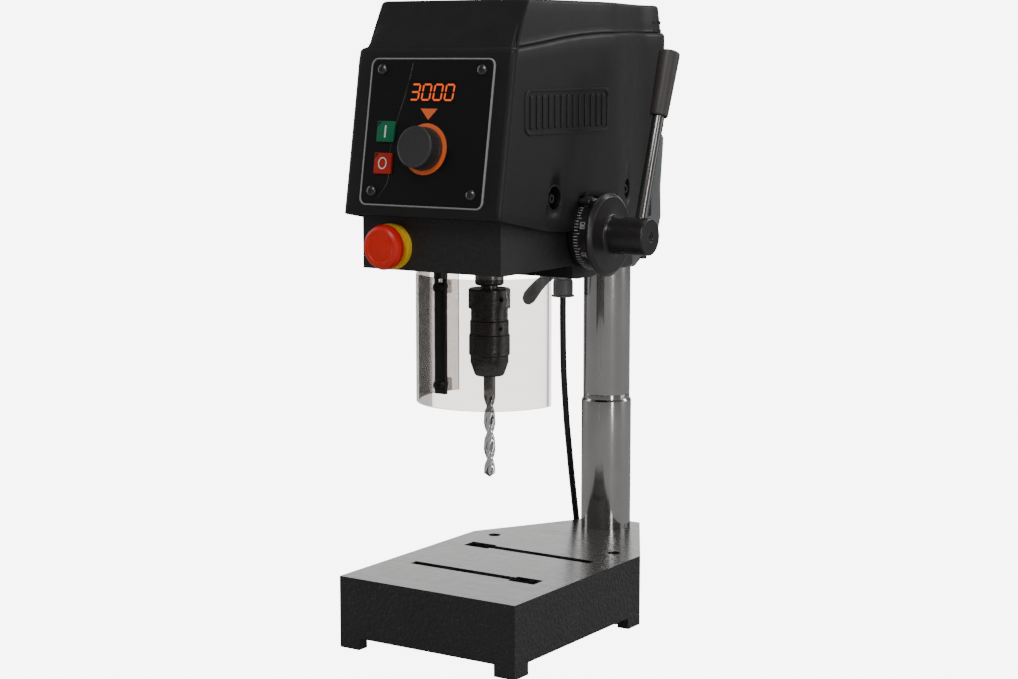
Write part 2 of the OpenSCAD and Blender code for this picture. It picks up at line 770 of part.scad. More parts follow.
module motor_pulley() {
    color("#aeb1b3") pulley(small_groove, 44, 14, [0, motor_y]) rod_z(24, pulley_z - 5, pulley_z, [0, motor_y]);
}

module pulley_bearing() {
    color("#c9cbcc") ring_z(42, 2 * (10 + slide_gap), plate_z, plate_z + plate_t + 2, [0, spindle_y]);
}

// Outline round two pulleys: an arc on each, joined by straight runs
function belt_outline(r1, r2, grow) = let (d = motor_y - spindle_y, a = asin((r1 - r2) / d)) concat(
    [for (k = [0:24]) let (t = 180 - a + k * (180 + 2 * a) / 24)
        [(r1 + grow) * cos(t), spindle_y + (r1 + grow) * sin(t)]],
    [for (k = [0:24]) let (t = a + k * (180 - 2 * a) / 24)
        [(r2 + grow) * cos(t), motor_y + (r2 + grow) * sin(t)]]);

module drive_belt() {
    color("#1b1b1c") translate([0, 0, pulley_z + 6]) linear_extrude(groove_h - 3) difference() {
        polygon(belt_outline(big_groove / 2, small_groove / 2, 4));
        polygon(belt_outline(big_groove / 2, small_groove / 2, 0.6));
    }
}

// ---- feed ----------------------------------------------------------------

module feed_bushings() {
    color("#b08d4a") for (s = [-1, 1]) difference() {
        rod_x(feed_shaft_d + 8, s > 0 ? casting_r - 18 : -casting_r, s > 0 ? casting_r : -casting_r + 18,
              feed_y, feed_z);
        rod_x(feed_shaft_d + 2 * slide_gap, -casting_w, casting_w, feed_y, feed_z);
    }
}

module feed_shaft() {
    color("#a7a8aa") difference() {
        rod_x(feed_shaft_d, cup_x - 18, hub_end - 10, feed_y, feed_z);
        rod_x(5, hub_end - 30, hub_end, feed_y, feed_z);
    }
}

// Straight-sided tooth form, thinned at the pitch line so that the mesh runs free
tooth_thin = 0.35;
flank = 20;
function half_tooth(depth) = PI * gear_module / 4 - tooth_thin / 2 - depth * tan(flank);

function pinion_outline() = [for (k = [0:pinion_teeth - 1]) let (a = k * 360 / pinion_teeth + 180)
    each [for (p = [[-1.15, -1], [0.85, -1], [0.85, 1], [-1.15, 1]])
        let (d = p[0] * gear_module, w = p[1] * half_tooth(d), r = pinion_r + d)
        [r * cos(a) - w * sin(a), r * sin(a) + w * cos(a)]]];

module feed_pinion() {
    w = 20;
    color("#8d8f92") translate([-w / 2, feed_y, feed_z]) difference() {
        rotate([90, 0, 90]) linear_extrude(w) polygon(pinion_outline());
        rotate([0, 90, 0]) translate([0, 0, -cut]) cylinder(d = feed_shaft_d, h = w + 2 * cut, $fn = fn);
    }
}

module feed_hub() {
    color("#2b2829") difference() {
        union() {
            translate([disc_x, feed_y, feed_z]) rotate([90, 0, 90]) rotate_extrude($fn = 96) polygon([
                [0, 0], [disc_d / 2 - 2, 0], [disc_d / 2, 2], [disc_d / 2, 4.5],
                [disc_d / 2 - 2.5, disc_t], [0, disc_t + 1.2]]);
            rod_x(hub_d, disc_x + 5, hub_end - 1, feed_y, feed_z);
            translate([hub_end - 1, feed_y, feed_z]) rotate([0, 90, 0])
                cylinder(d1 = hub_d, d2 = hub_d - 2, h = 1, $fn = 96);
            rod_x(39, ring_x, disc_x + 1, feed_y, feed_z);
        }
        rod_x(feed_shaft_d, ring_x - cut, hub_end - 10, feed_y, feed_z);
        rod_x(5, hub_end - 20, hub_end - 3, feed_y, feed_z);
        rod_x(9, hub_end - 4, hub_end + cut, feed_y, feed_z);
        along_lever() cylinder(d = 11, h = 60, $fn = fn);
    }
}

module along_lever(from = 8.6) {
    translate([lever_x, feed_y, feed_z]) rotate([-lever_lean, 0, 0]) translate([0, 0, from]) children();
}

grip_len = 61;

module feed_lever() {
    color("#1d1d1e") along_lever() cylinder(d = 11, h = lever_len - 10 - 8.6, $fn = fn);
}

module lever_grip() {
    color("#3a3533") along_lever(lever_len - grip_len) difference() {
        rotate_extrude($fn = fn) polygon([
            [0, 0], [7.8, 0], [8.3, 0.8], [8.9, 20], [9.8, grip_len - 8], [9.7, grip_len - 2.5],
            [8.2, grip_len - 0.6], [0, grip_len]]);
        translate([0, 0, -cut]) cylinder(d = 11, h = grip_len - 10 + cut, $fn = fn);
    }
}

module hub_screw() {
    color("#111112") translate([hub_end - 1, feed_y, feed_z]) rotate([0, 90, 0]) difference() {
        union() {
            translate([0, 0, -3]) cylinder(d = 8.6, h = 3, $fn = 32);
            translate([0, 0, -20]) cylinder(d = 5, h = 17, $fn = 32);
        }
        translate([0, 0, -2]) cylinder(d = 4, h = 4, $fn = 6);
    }
}

module depth_ring() {
    color("#2a292a") difference() {
        union() {
            rod_x(depth_ring_d, ring_x + 5, disc_x - 1.5, feed_y, feed_z);
            rod_x(depth_ring_d - 2.4, ring_x + 0.5, disc_x - 1, feed_y, feed_z);
        }
        rod_x(39 + 2 * slide_gap, ring_x - cut, disc_x, feed_y, feed_z);
    }
}

module depth_pointer() {
    color("#2f2e2e") {
        rod_x(6, casting_r, disc_x - 3, pointer_at[0], pointer_at[1]);
        rod_x(8, casting_r, casting_r + 3, pointer_at[0], pointer_at[1]);
    }
}

module spring_cover() {
    color("#2b2829") difference() {
        translate([cup_x, feed_y, feed_z]) rotate([90, 0, -90]) rotate_extrude($fn = 96) polygon([
            [0, 0], [cup_d / 2, 0], [cup_d / 2, 20], [cup_d / 2 - 2.5, 23], [0, 24]]);
        rod_x(cup_d - 6, cup_x - 20.5, cup_x + cut, feed_y, feed_z);
    }
}

// Flat spiral spring: points along an Archimedean spiral, outer edge then inner edge
module return_spring() {
    turns = 3.5;
    steps = 84;
    strip = 0.9;
    r0 = 10;
    r1 = 28.5;
    function at(k, off) = let (r = r0 + (r1 - r0) * k / steps + off, a = turns * 360 * k / steps)
        [r * cos(a), r * sin(a)];
    color("#7b7d80") translate([cup_x - 15.5, feed_y, feed_z]) rotate([90, 0, 90]) linear_extrude(11)
        polygon(concat([for (k = [0:steps]) at(k, 0)], [for (k = [steps:-1:0]) at(k, strip)]));
}

// ---- quill, spindle and chuck -------------------------------------------

rack_len = 78;

module quill() {
    rack_top = feed_z + quill_travel + 12;
    teeth = ceil(rack_len / (PI * gear_module)) + 1;
    pitch = PI * gear_module;
    first = floor((feed_z - quill_z0 - 2) / pitch);
    root = rack_x - 1.2 * gear_module;
    color("#a3a4a6") difference() {
        intersection() {
            rod_z(quill_d, quill_z0, quill_z1, [0, spindle_y]);
            union() {
                block([-quill_d, spindle_y - quill_d, quill_z0 - cut],
                      [quill_d, spindle_y + root, quill_z1 + cut]);
                block([-quill_d, spindle_y, rack_top], [quill_d, spindle_y + quill_d, quill_z1 + cut]);
                block([-quill_d, spindle_y, quill_z0 - cut],
                      [quill_d, spindle_y + quill_d, feed_z - (first + 0.5) * pitch]);
            }
        }
        rod_z(22, quill_z0 - cut, quill_z1 + cut, [0, spindle_y]);
        rod_z(32, quill_z0 - cut, quill_z0 + 22, [0, spindle_y]);
        rod_z(32, quill_z1 - 11, quill_z1 + cut, [0, spindle_y]);
    }
    color("#a3a4a6") intersection() {
        rod_z(quill_d, quill_z0, quill_z1, [0, spindle_y]);
        for (k = [-first:teeth]) let (z = feed_z + (k + 0.5) * pitch)
            if (z + pitch / 2 < rack_top + pitch && z > quill_z0 + pitch)
                translate([-10, spindle_y + rack_x, z]) rotate([90, 0, 90]) linear_extrude(20)
                    polygon([[-1.2 * gear_module - 0.02, -half_tooth(-1.2 * gear_module)],
                             [0.85 * gear_module, -half_tooth(0.85 * gear_module)],
                             [0.85 * gear_module, half_tooth(0.85 * gear_module)],
                             [-1.2 * gear_module - 0.02, half_tooth(-1.2 * gear_module)]]);
    }
}

module quill_nose() {
    color("#3d3d3f") difference() {
        union() {
            rod_z(quill_nose_d, head_z - 18, quill_z0, [0, spindle_y]);
            translate([0, spindle_y, head_z - 19.5])
                cylinder(d1 = quill_nose_d - 3, d2 = quill_nose_d, h = 1.5, $fn = fn);
        }
        rod_z(spindle_d + 1, head_z - 22, quill_z0 + cut, [0, spindle_y]);
    }
}

module quill_bearings() {
    inner = 2 * (7.5 + slide_gap);
    color("#c9cbcc") {
        ring_z(32, inner, quill_z0, quill_z0 + 9, [0, spindle_y]);
        ring_z(32, inner, quill_z0 + 11, quill_z0 + 20, [0, spindle_y]);
        ring_z(32, inner, quill_z1 - 10, quill_z1 - 1, [0, spindle_y]);
    }
}

module spindle() {
    color("#b4b5b7") {
        rod_z(12, chuck_z1 - 22, chuck_z1, [0, spindle_y]);
        rod_z(spindle_d, chuck_z1, quill_z0 - 0.5, [0, spindle_y]);
        rod_z(15, quill_z0 - 0.5, quill_z1, [0, spindle_y]);
        rod_z(14, quill_z1, pulley_z + 34, [0, spindle_y]);
    }
}

jaw_tilt = 6;
jaw_d = 5;
jaw_len = 24;
jaw_foot = drill_d / 2 + 0.3 + jaw_d / 2;      // distance of a jaw's axis from the spindle's, at its foot

module along_jaw(k, from = 0) {
    translate([0, spindle_y, chuck_z0 + 1]) rotate(120 * k + 30) translate([jaw_foot, 0, 0])
        rotate([0, jaw_tilt, 0]) translate([0, 0, from]) children();
}

module chuck_body() {
    color("#3f3f41") difference() {
        translate([0, spindle_y, 0]) rotate_extrude($fn = 96) polygon([
            [0, chuck_z0 + 3], [11.2, chuck_z0 + 3], [11.2, chuck_z0 + 9], [13, chuck_z0 + 10],
            [13, chuck_z1 - 29], [17.05, chuck_z1 - 29], [17.05, chuck_z1 - 18.1],
            [chuck_d / 2, chuck_z1 - 18.1], [chuck_d / 2, chuck_z1 - 1], [chuck_d / 2 - 1, chuck_z1],
            [0, chuck_z1]]);
        rod_z(12, chuck_z1 - 22, chuck_z1 + cut, [0, spindle_y]);
        rod_z(drill_d + 0.6, chuck_z0, chuck_z1 - 24, [0, spindle_y]);
        for (k = [0:2]) along_jaw(k, -5) cylinder(d = jaw_d + 0.6, h = jaw_len + 16, $fn = 32);
        for (a = [-22, 158]) translate([0, spindle_y, chuck_z1 - 9]) rotate(a)
            rotate([0, 90, 0]) translate([0, 0, 13]) cylinder(d = 5, h = 10, $fn = 32);
    }
}

module chuck_sleeve() {
    top = chuck_z1 - 29.3;
    color("#3f3f41") difference() {
        translate([0, spindle_y, 0]) rotate_extrude($fn = 96) polygon([
            [11.7, chuck_z0], [12.4, chuck_z0], [13.8, chuck_z0 + 1.4], [17.65, chuck_z0 + 12.6],
            [17.65, chuck_z0 + 18.6], [18.9, chuck_z0 + 19.8], [18.9, chuck_z0 + 37.6],
            [17.95, chuck_z0 + 38.6], [17.95, top - 0.6], [17.4, top], [13.3, top],
            [13.3, chuck_z0 + 35], [14.4, chuck_z0 + 34], [14.4, chuck_z0 + 9.6], [11.7, chuck_z0 + 7]]);
        translate([0, spindle_y, top - 6.4]) rotate(-22) rotate([0, 90, 0])
            translate([0, 0, 15]) cylinder(d = 4, h = 10, $fn = 32);
    }
}

module chuck_jaw(k) {
    color("#8f9093") difference() {
        along_jaw(k) cylinder(d = jaw_d, h = jaw_len, $fn = 32);
        rod_z(drill_d + 0.4, chuck_z0 - 5, chuck_z0 + 60, [0, spindle_y]);
    }
}

module chuck_jaw_1() { chuck_jaw(0); }

module chuck_jaw_2() { chuck_jaw(1); }

module chuck_jaw_3() { chuck_jaw(2); }

module drill_bit() {
    flute_z = chuck_z0 - 15;
    body_r = drill_d / 2 - 0.2;                // body clearance behind the cutting edges
    web = 0.16 * drill_d;
    helix_pitch = 4.5 * drill_d;
    land = [for (a = [-62:12.4:62]) [body_r * cos(a), body_r * sin(a)]];
    section = concat(land, [[-web * 0.2, web]], -1 * land, [[web * 0.2, -web]]);
    flutes = flute_z + 1 - drill_z0;
    color("#b9bcc0") translate([0, spindle_y, 0]) {
        rod_z(drill_d, flute_z, chuck_z0 + 50);
        intersection() {
            translate([0, 0, drill_z0])
                linear_extrude(flutes, twist = -360 * flutes / helix_pitch, slices = 42) polygon(section);
            union() {
                translate([0, 0, drill_z0]) cylinder(d1 = 0.6, d2 = drill_d + 1, h = 4, $fn = 32);
                rod_z(drill_d + 1, drill_z0 + 4, flute_z + 1);
            }
        }
    }
}

// ---- guard and column clamp ---------------------------------------------

module guard_bracket() {
    color("#303133") {
        block([pivot[0] - 9, pivot[1] - 9, head_z - 6], [pivot[0] + 18, pivot[1] + 9, head_z]);
        rod_z(8, head_z - 15, head_z - 6, pivot);
    }
}

post_t = 4;
post_w = 12;
guard_z0 = guard_z1 - guard_h;

module guard_post() {
    top = head_z - 7;
    color("#3a3d40") difference() {
        union() {
            block([pivot[0] - post_w / 2, pivot[1] - post_t / 2, guard_z0],
                  [pivot[0] + post_w / 2, pivot[1] + post_t / 2, top]);
            rod_z(13, top - 10, top, pivot);
        }
        rod_z(8 + 2 * slide_gap, top - 14, top + cut, pivot);
        for (z = guard_screw_heights()) rod_y(4.1, pivot[1] - 10, pivot[1] + 10, pivot[0] + 1, z);
    }
}

function guard_screw_heights() = [guard_z0 + 9, guard_z1 - 17];

// Half shell of clear sheet with two bonded blocks that the screws hold
module guard_shield() {
    inner = guard_r - guard_t;
    color([0.81, 0.8, 0.78, 0.35]) {
        difference() {
            ring_z(2 * guard_r, 2 * inner, guard_z0, guard_z1, [0, spindle_y]);
            translate([0, spindle_y, guard_z0 - cut]) linear_extrude(guard_h + 2 * cut) polygon([
                [0, 0], [120, 0], [120, 120], [-120 * tan(60), 120]]);
            // corner cut away under the lower rear of the head
            block([-guard_r - cut, step_y - 1.5, rear_z - 1.5], [0, step_y + guard_r, guard_z1 + cut]);
        }
        for (z = guard_screw_heights()) difference() {
            intersection() {
                block([-guard_r, pivot[1] + post_t / 2, z - 6], [pivot[0] + 7, pivot[1] + post_t / 2 + 6, z + 6]);
                rod_z(2 * inner, z - 7, z + 7, [0, spindle_y]);
            }
            rod_y(4.1, pivot[1], pivot[1] + 20, pivot[0] + 1, z);
        }
    }
}

module guard_screws() {
    color("#18191a") for (z = guard_screw_heights())
        translate([pivot[0] + 1, pivot[1] - post_t / 2 - 6, z]) rotate([90, 0, 0]) {
            difference() {
                translate([0, 0, -6]) cylinder(d = 9.6, h = 6, $fn = 32);
                translate([0, 0, -3]) cylinder(d = 5, h = 4, $fn = 6);
            }
            translate([0, 0, -16]) cylinder(d = 4, h = 10, $fn = 24);
        }
}

module clamp_stud() {
    color("#8e9194") rod_y(8, sleeve_y - 12.5, sleeve_y + 14, clamp_at[0], clamp_at[1]);
}

module clamp_lever() {
    y0 = sleeve_y - 15;
    // centres of the handle's arc, as [x, z, diameter]
    arm = [[0, 0, 17], [-10, -3, 10], [-21, -9, 11], [-31, -18, 13], [-41, -29, 15]];
    color("#6b7073") difference() {
        union() {
            rod_y(17, y0, y0 + 14, clamp_at[0], clamp_at[1]);
            for (i = [0:3]) hull() for (p = [arm[i], arm[i + 1]])
                translate([clamp_at[0] + p[0], y0 + 4, clamp_at[1] + p[1]]) rotate([90, 0, 0])
                    cylinder(d = p[2] - 1, h = 8, center = true, $fn = 32);
        }
        rod_y(8 + 2 * slide_gap, y0 + 2, y0 + 20, clamp_at[0], clamp_at[1]);
    }
}

// ---- drawing -------------------------------------------------------------

base_casting();
column();
column_screws();
mains_cable();
cable_coil();
mains_plug();
head_casting();
column_sleeve();
sleeve_bolts();
head_cover();
cover_screws();
side_badges();
panel_plate();
panel_screws();
display_module();
knob_ring();
control_board();
potentiometer();
estop_body();
cable_gland();
top_plate();
plate_posts();
motor_body();
motor_screws();
feed_bushings();
return_spring();
spring_cover();
guard_bracket();
depth_pointer();
drive_belt();
feed_shaft();
feed_pinion();
feed_hub();
feed_lever();
lever_grip();
hub_screw();
depth_ring();
quill();
quill_nose();
quill_bearings();
spindle();
chuck_body();
drill_bit();
chuck_sleeve();
chuck_jaw_1();
chuck_jaw_2();
chuck_jaw_3();
spindle_pulley();
pulley_bearing();
motor_rotor();
motor_pulley();
speed_knob();
start_button();
stop_button();
estop_head();
guard_post();
guard_shield();
guard_screws();
clamp_lever();
clamp_stud();
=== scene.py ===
"""Bench drill press: finished surfaces, controls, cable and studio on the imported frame."""
import json
import math

import bmesh
import bpy
from bpy.props import FloatProperty, FloatVectorProperty, IntProperty, PointerProperty
from mathutils import Matrix, Vector

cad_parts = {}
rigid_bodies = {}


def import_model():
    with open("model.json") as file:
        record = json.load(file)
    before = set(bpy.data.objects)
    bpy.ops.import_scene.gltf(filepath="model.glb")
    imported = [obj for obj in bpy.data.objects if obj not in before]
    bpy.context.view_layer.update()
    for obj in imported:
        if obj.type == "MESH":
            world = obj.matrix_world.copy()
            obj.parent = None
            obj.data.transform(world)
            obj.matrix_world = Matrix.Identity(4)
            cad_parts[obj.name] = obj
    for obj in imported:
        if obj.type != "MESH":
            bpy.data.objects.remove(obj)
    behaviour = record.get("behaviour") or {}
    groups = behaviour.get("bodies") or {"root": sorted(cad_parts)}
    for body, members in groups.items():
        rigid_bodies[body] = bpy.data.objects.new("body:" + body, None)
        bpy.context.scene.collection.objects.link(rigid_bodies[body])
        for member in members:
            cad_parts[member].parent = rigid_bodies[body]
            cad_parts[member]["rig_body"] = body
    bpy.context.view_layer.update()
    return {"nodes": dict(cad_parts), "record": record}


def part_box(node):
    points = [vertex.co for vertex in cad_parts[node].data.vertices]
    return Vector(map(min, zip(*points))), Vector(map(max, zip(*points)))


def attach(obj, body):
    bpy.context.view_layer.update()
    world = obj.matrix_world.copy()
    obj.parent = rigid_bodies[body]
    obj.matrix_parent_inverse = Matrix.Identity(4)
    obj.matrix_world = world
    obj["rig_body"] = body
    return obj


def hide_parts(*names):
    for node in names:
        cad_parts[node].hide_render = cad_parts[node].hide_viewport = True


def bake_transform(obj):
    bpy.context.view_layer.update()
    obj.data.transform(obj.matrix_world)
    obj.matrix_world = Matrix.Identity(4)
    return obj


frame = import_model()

bl_info = {
    "name": "Bench drill press",
    "version": (1, 0, 0),
    "blender": (4, 5, 0),
    "location": "3D View > Sidebar > Drill press",
    "description": "Builds the visible surfaces of a bench drill press on its CAD frame",
    "category": "Object",
}

MM = 0.001


# ---- settings -------------------------------------------------------------

def length(name, text, default):
    return FloatProperty(name=name, description=text, default=default, unit="LENGTH", precision=5)


class HoodSettings(bpy.types.PropertyGroup):
    corner: length("Front corner", "Radius of the hood's front vertical corners", 0.0055)
    shoulder: length("Shoulder", "Radius of the shoulder round the hood", 0.0045)
    top_edge: length("Top edge", "Radius of the edge round the cap's top", 0.003)
    wall: length("Wall", "Wall thickness of the hood", 0.003)
    lean: FloatProperty(name="Lean", description="Lean of the front from the vertical",
                        default=math.radians(9.7), unit="ROTATION")
    rear_turn: FloatProperty(name="Rear turn", description="Angle where the taper meets the rear round",
                             default=math.radians(20), unit="ROTATION")
    soften: IntProperty(name="Soften", description="Smoothing passes along the side's plan", default=14)


class PanelSettings(bpy.types.PropertyGroup):
    rim: length("Rim", "Width of the pale line round the panel", 0.0011)
    corner: length("Corner", "Radius of the panel's corners", 0.006)
    digit_h: length("Digit height", "Height of the display's digits", 0.0134)
    digit_pitch: length("Digit pitch", "Distance between the digits", 0.0121)
    stroke: length("Stroke", "Width of a digit's strokes", 0.0015)
    slant: FloatProperty(name="Slant", description="Slant of the digits", default=0.12)


class FeedSettings(bpy.types.PropertyGroup):
    ticks: IntProperty(name="Ticks", description="Marks round the depth ring", default=72)
    tick_l: length("Tick length", "Length of a short mark", 0.0042)
    tick_w: length("Tick width", "Width of a mark", 0.0005)
    figure_h: length("Figure height", "Height of the depth ring's figures", 0.0042)


class CordSettings(bpy.types.PropertyGroup):
    diameter: length("Diameter", "Diameter of the mains cable", 0.0065)
    pitch: length("Pitch", "Distance between turns of the coil", 0.0066)
    turns: FloatProperty(name="Turns", description="Turns in the coil's lower layer", default=2.5)


class EdgeSettings(bpy.types.PropertyGroup):
    cast: length("Cast edge", "Softened edge of cast pieces", 0.0012)
    corner: length("Base corner", "Radius of the base's upright corners", 0.006)
    machined: length("Machined edge", "Broken edge of machined pieces", 0.0004)
    sheet: length("Sheet edge", "Polished edge of the clear shield", 0.0004)


class StageSettings(bpy.types.PropertyGroup):
    place: FloatVectorProperty(name="Camera", description="Place of the camera",
                               default=(1.057, -1.682, 0.539), subtype="TRANSLATION", unit="LENGTH")
    azimuth: FloatProperty(name="Azimuth", description="Direction the camera looks in, from +Y",
                           default=math.radians(33.39), unit="ROTATION")
    tilt: FloatProperty(name="Tilt", description="How far the camera looks down",
                        default=math.radians(7.76), unit="ROTATION")
    lens: FloatProperty(name="Lens", description="Focal length", default=73.52, unit="CAMERA")
    key: FloatProperty(name="Key", description="Power of the key light", default=26.0, unit="POWER")
    fill: FloatProperty(name="Fill", description="Power of the fill lights", default=9.0, unit="POWER")
    rim: FloatProperty(name="Rim", description="Power of the rim light", default=16.0, unit="POWER")
    streak: FloatProperty(name="Streak", description="Power of the narrow upright light", default=20.0,
                          unit="POWER")
    back: FloatProperty(name="Back", description="Power of the wide light behind", default=24.0, unit="POWER")
    ambient: FloatProperty(name="Ambient", description="Strength of the surroundings", default=0.16)
    floor_glow: FloatProperty(name="Floor glow", description="How bright the floor looks to the camera",
                              default=7.0)


GROUPS = {"dp_hood": HoodSettings, "dp_panel": PanelSettings, "dp_feed": FeedSettings,
          "dp_cord": CordSettings, "dp_edge": EdgeSettings, "dp_stage": StageSettings}


# ---- materials ------------------------------------------------------------

def object_coordinates(tree, scale=(1, 1, 1)):
    coords = tree.nodes.new("ShaderNodeTexCoord")
    mapping = tree.nodes.new("ShaderNodeMapping")
    mapping.inputs["Scale"].default_value = scale
    tree.links.new(coords.outputs["Object"], mapping.inputs["Vector"])
    return mapping.outputs["Vector"]


def noise(tree, scale, stretch=(1, 1, 1), detail=3.0, roughness=0.55):
    node = tree.nodes.new("ShaderNodeTexNoise")
    node.inputs["Scale"].default_value = scale
    node.inputs["Detail"].default_value = detail
    node.inputs["Roughness"].default_value = roughness
    tree.links.new(object_coordinates(tree, stretch), node.inputs["Vector"])
    return node.outputs["Fac"]


def spread(tree, value, low, high, start=0.3, end=0.7):
    node = tree.nodes.new("ShaderNodeMapRange")
    node.inputs["From Min"].default_value = start
    node.inputs["From Max"].default_value = end
    node.inputs["To Min"].default_value = low
    node.inputs["To Max"].default_value = high
    tree.links.new(value, node.inputs["Value"])
    return node.outputs["Result"]


def blend_colour(tree, factor, one, two):
    node = tree.nodes.new("ShaderNodeMix")
    node.data_type = "RGBA"
    node.inputs[6].default_value = (*one, 1)
    node.inputs[7].default_value = (*two, 1)
    tree.links.new(factor, node.inputs[0])
    return node.outputs[2]


def surface(name, colour, rough=0.5, metal=0.0, second=None, patch_scale=18,
            grain=None, stretch=(1, 1, 1), rough_range=0.0, coat=0.0, glow=None, speck=None,
            specular=0.5, patch_stretch=(1, 1, 1), patch_range=(0.35, 0.65)):
    """A Principled material: colour patches, fine grain relief, uneven sheen, specks and glow."""
    material = bpy.data.materials.new(name)
    material.use_nodes = True
    tree = material.node_tree
    shader = tree.nodes["Principled BSDF"]
    shader.inputs["Base Color"].default_value = (*colour, 1)
    shader.inputs["Roughness"].default_value = rough
    shader.inputs["Metallic"].default_value = metal
    shader.inputs["Specular IOR Level"].default_value = specular
    shader.inputs["Coat Weight"].default_value = coat
    shader.inputs["Coat Roughness"].default_value = 0.12
    base = None
    if second:
        factor = spread(tree, noise(tree, patch_scale, patch_stretch), 0, 1, *patch_range)
        base = blend_colour(tree, factor, colour, second)
    if speck:
        scale, threshold, tint = speck
        dots = spread(tree, noise(tree, scale, detail=1.0), 0, 1, threshold, threshold + 0.05)
        mixed = blend_colour(tree, dots, colour, tint)
        if base:
            tree.links.new(base, mixed.node.inputs[6])
        base = mixed
    if base:
        tree.links.new(base, shader.inputs["Base Color"])
    if rough_range:
        sheen = spread(tree, noise(tree, 60, stretch), rough - rough_range, rough + rough_range)
        tree.links.new(sheen, shader.inputs["Roughness"])
    if grain:
        scale, strength, depth = grain
        bump = tree.nodes.new("ShaderNodeBump")
        bump.inputs["Strength"].default_value = strength
        bump.inputs["Distance"].default_value = depth
        tree.links.new(noise(tree, scale, stretch, 2.0), bump.inputs["Height"])
        tree.links.new(bump.outputs["Normal"], shader.inputs["Normal"])
    if glow:
        shader.inputs["Emission Color"].default_value = (*glow[0], 1)
        shader.inputs["Emission Strength"].default_value = glow[1]
    return material


def clear_sheet(name):
    """Clear plastic: mostly see-through, slightly grey, with a sharp reflection at its faces."""
    material = bpy.data.materials.new(name)
    material.use_nodes = True
    tree = material.node_tree
    tree.nodes.remove(tree.nodes["Principled BSDF"])
    through = tree.nodes.new("ShaderNodeBsdfTransparent")
    through.inputs["Color"].default_value = (0.6, 0.582, 0.572, 1)
    shine = tree.nodes.new("ShaderNodeBsdfGlossy")
    shine.inputs["Color"].default_value = (0.8, 0.8, 0.8, 1)
    streak = spread(tree, noise(tree, 40, (1, 1, 0.05)), 0.02, 0.08)
    tree.links.new(streak, shine.inputs["Roughness"])
    edge = tree.nodes.new("ShaderNodeLayerWeight")
    edge.inputs["Blend"].default_value = 0.18
    factor = tree.nodes.new("ShaderNodeMath")
    factor.operation = "MULTIPLY"
    factor.inputs[1].default_value = 0.75
    tree.links.new(edge.outputs["Fresnel"], factor.inputs[0])
    mix = tree.nodes.new("ShaderNodeMixShader")
    tree.links.new(factor.outputs[0], mix.inputs[0])
    tree.links.new(through.outputs[0], mix.inputs[1])
    tree.links.new(shine.outputs[0], mix.inputs[2])
    tree.links.new(mix.outputs[0], tree.nodes["Material Output"].inputs["Surface"])
    return material


def pale_floor(name, glow, ambient):
    """A pale floor and wall that look bright to the camera and light the object only softly."""
    material = surface(name, (0.28, 0.28, 0.28), 0.8)
    tree = material.node_tree
    path = tree.nodes.new("ShaderNodeLightPath")
    power = tree.nodes.new("ShaderNodeMath")
    power.operation = "MULTIPLY_ADD"
    power.inputs[1].default_value = glow - ambient
    power.inputs[2].default_value = ambient
    tree.links.new(path.outputs["Is Camera Ray"], power.inputs[0])
    shader = tree.nodes["Principled BSDF"]
    shader.inputs["Emission Color"].default_value = (1, 1, 1, 1)
    tree.links.new(power.outputs[0], shader.inputs["Emission Strength"])
    return material


M = {}


